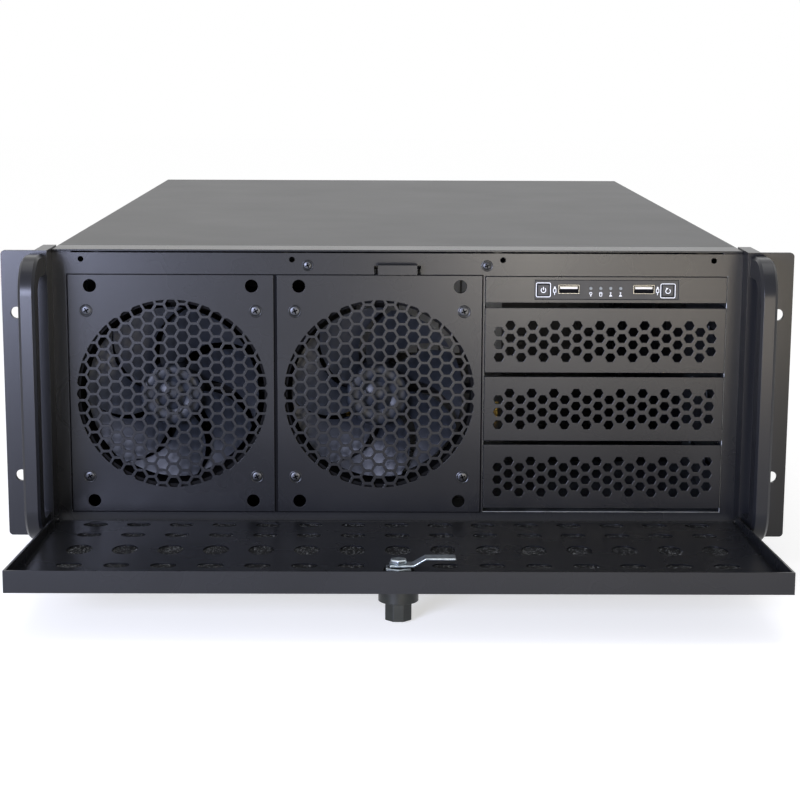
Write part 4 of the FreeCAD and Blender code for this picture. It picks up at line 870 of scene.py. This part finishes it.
def frame_of(x0, x1, z0, z1, round_by):
    """Corner points of a rounded rectangle."""
    corners = ((x1 - round_by, z1 - round_by, 0), (x0 + round_by, z1 - round_by, 90),
               (x0 + round_by, z0 + round_by, 180), (x1 - round_by, z0 + round_by, 270))
    return [point for x, z, turn in corners for point in arc(x, z, round_by, turn, turn + 90, 4)]


def printed(name, work, node):
    """Turns print to face the front and lets it ride with the node that it's printed on."""
    mesh = bpy.data.meshes.new(name)
    work.normal_update()
    for face in work.faces:
        if face.normal.y > 0:
            face.normal_flip()
    work.to_mesh(mesh)
    work.free()
    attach(object_of(name, mesh, PRINT), body_of(nodes[node])[0])


def power_sign(x=90.3, z=152.5):
    """An open circle with a bar in its gap, on the power button."""
    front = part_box("power_button")[0].y / MM
    work = bmesh.new()
    stroke(work, arc(x, z, SIGN_ARC, 125, 415), BOLD, front=front)
    stroke(work, [(x, z + 0.1), (x, z + 2.1)], BOLD, front=front)
    printed("looks_power_sign", work, "power_button")


def reset_sign(x=167.4, z=152.2):
    """An open circle that ends in an arrow head, on the reset button."""
    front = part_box("reset_button")[0].y / MM
    work = bmesh.new()
    stroke(work, arc(x, z, SIGN_ARC, 130, 410), BOLD, front=front)
    patch(work, [(x - 1.3, z + 2.1), (x + 0.2, z + 1.7), (x - 0.9, z + 0.6)], front=front)
    printed("looks_reset_sign", work, "reset_button")


def plug_sign(work, x):
    """A small plug with its cord, beside a socket."""
    stroke(work, frame_of(x - 0.8, x + 0.8, 151.2, 153.4, 0.3), FINE, closed=True)
    bar(work, x, 0.45, 153.6, 154.7)
    stroke(work, [(x, 151.0), (x, 149.6)], FINE)


def light_signs(work, lamp_x=119.7, disk_x=125.85, net_x=(132.0, 138.1)):
    """A lamp, a disk and two network signs under the four lights."""
    stroke(work, arc(lamp_x, 150.5, 0.75, 0, 360, 12)[:-1], 0.3, closed=True)
    bar(work, lamp_x, 0.35, 148.7, 149.4)
    stroke(work, frame_of(disk_x - 0.75, disk_x + 0.75, 148.8, 151.2, 0.5), 0.32, closed=True)
    stroke(work, [(disk_x - 0.7, 150.4), (disk_x + 0.7, 150.4)], 0.28)
    for x in net_x:
        patch(work, [(x - 1.05, 148.7), (x + 1.05, 148.7), (x, 150.2)])
        bar(work, x, 0.4, 150.5, 151.2)


def label_signs():
    """What is printed on the label: outlines round both buttons, and the signs of the sockets and lights."""
    work = bmesh.new()
    for edges in BUTTON_FRAMES:
        stroke(work, frame_of(*edges, 0.9), BOLD, closed=True)
    for x in PLUGS:
        plug_sign(work, x)
    light_signs(work)
    printed("looks_label_signs", work, "io_label_panel")


power_sign()
reset_sign()
label_signs()

for node, shown in nodes.items():
    shown.data.materials.clear()
    shown.data.materials.append(skin(node))


# ---------------------------------------------------------------- floor, lamps, world and camera

def seen_outright(tree):
    """1 for the camera and what gloss and clear parts show it, and 0 for light that falls on the object."""
    path = add(tree, "ShaderNodeLightPath").outputs
    shown = add(tree, "ShaderNodeMath", {
        0: path["Is Glossy Ray"], 1: path["Is Transmission Ray"]}, operation="MAXIMUM")
    return add(tree, "ShaderNodeMath", {0: path["Is Camera Ray"], 1: shown}, operation="MAXIMUM")


def white_floor(tree, place):
    """A matt floor: pale grey where the object's shadow falls, seen as nearly white further out."""
    away = add(tree, "ShaderNodeVectorMath", {0: place}, operation="LENGTH").outputs["Value"]
    far = add(tree, "ShaderNodeMapRange", {"Value": away, "From Min": 0.7, "From Max": 1.6})
    grey = add(tree, "ShaderNodeValToRGB", {"Fac": far}, stops=((0.0, "#c6c6c6"), (1.0, "#303030")))
    level = add(tree, "ShaderNodeMapRange", {"Value": far, "To Min": 0.6, "To Max": 0.98})
    glow = add(tree, "ShaderNodeMath", {0: seen_outright(tree), 1: level}, operation="MULTIPLY")
    return {
        "Base Color": grey,
        "Roughness": 0.9,
        "Specular IOR Level": 0.0,
        "Emission Color": linear("#ffffff"),
        "Emission Strength": glow,
    }


def staged_floor():
    """A plain pale floor just under the object, which keeps its shadow."""
    half, level = 6.0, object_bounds()[0][2] - 0.0005
    corners = [(-half, -half, level), (half, -half, level), (half, half, level), (-half, half, level)]
    mesh = bpy.data.meshes.new("floor")
    mesh.from_pydata(corners, [], [(0, 1, 2, 3)])
    object_of("floor", mesh, shader("white_floor", white_floor))


def lamp(name, place, aim, size, power, colour):
    """A soft square lamp at place, turned to aim."""
    light = bpy.data.lights.new(name, "AREA")
    light.shape = "SQUARE"
    light.size = size
    light.energy = power
    light.color = linear(colour)[:3]
    made = bpy.data.objects.new(name, light)
    bpy.context.scene.collection.objects.link(made)
    made.location = place
    made.rotation_euler = (Vector(aim) - Vector(place)).to_track_quat("-Z", "Y").to_euler()


def studio():
    """Soft light from the front left, cool, and from the front right, warm; a white surround."""
    lamp("lamp_left", (-0.66, -1.22, 0.19), (-0.2, 0, 0.06), 0.46, 35, "#d6ddff")
    lamp("lamp_right", (0.18, -1.22, -0.01), (0.12, 0, 0), 0.15, 3.2, "#fff7ea")
    lamp("lamp_low", (0.34, -0.8, -0.02), (0.2, -0.16, -0.08), 0.12, 0.8, "#fff0d8")
    lamp("lamp_top", (0, 0.4, 2.2), (0, 0.3, 0), 1.8, 18, "#ffffff")
    world = bpy.data.worlds.new("surround")
    bpy.context.scene.world = world
    world.use_nodes = True
    tree = world.node_tree
    tree.nodes.clear()
    level = add(tree, "ShaderNodeMapRange", {"Value": seen_outright(tree), "To Min": 0.55, "To Max": 1.0})
    surround = add(tree, "ShaderNodeBackground", {"Color": linear("#ffffff"), "Strength": level})
    add(tree, "ShaderNodeOutputWorld", {"Surface": surround})


CAMERA_PLACE = (-11.128, -1147.94, 207.30)
CAMERA_LENS = 85.03  # on a sensor 36 mm wide
CAMERA_SHIFT = (0.01507, 0.00126)  # as shares of the sensor's width
YAW, PITCH, ROLL = 0.0047838, 0.1819812, 0.0038125  # radians to the right, down, and round the view


def camera():
    """The main camera, a long lens a little above the case and looking down on it."""
    ahead = Vector((math.sin(YAW) * math.cos(PITCH), math.cos(YAW) * math.cos(PITCH), -math.sin(PITCH)))
    right = Vector((math.cos(YAW), -math.sin(YAW), 0.0))
    up = right.cross(ahead)
    side = math.cos(ROLL) * right + math.sin(ROLL) * up
    top = math.cos(ROLL) * up - math.sin(ROLL) * right
    data = bpy.data.cameras.new("camera")
    data.lens = CAMERA_LENS
    data.sensor_width = 36.0
    data.shift_x, data.shift_y = CAMERA_SHIFT
    data.clip_start, data.clip_end = 0.05, 50.0
    made = bpy.data.objects.new("camera", data)
    bpy.context.scene.collection.objects.link(made)
    turn = Matrix((side, top, -ahead)).transposed().to_4x4()
    made.matrix_world = Matrix.Translation(Vector(CAMERA_PLACE) * MM) @ turn
    bpy.context.scene.camera = made


staged_floor()
studio()
camera()
bpy.context.scene.view_settings.view_transform = "Standard"
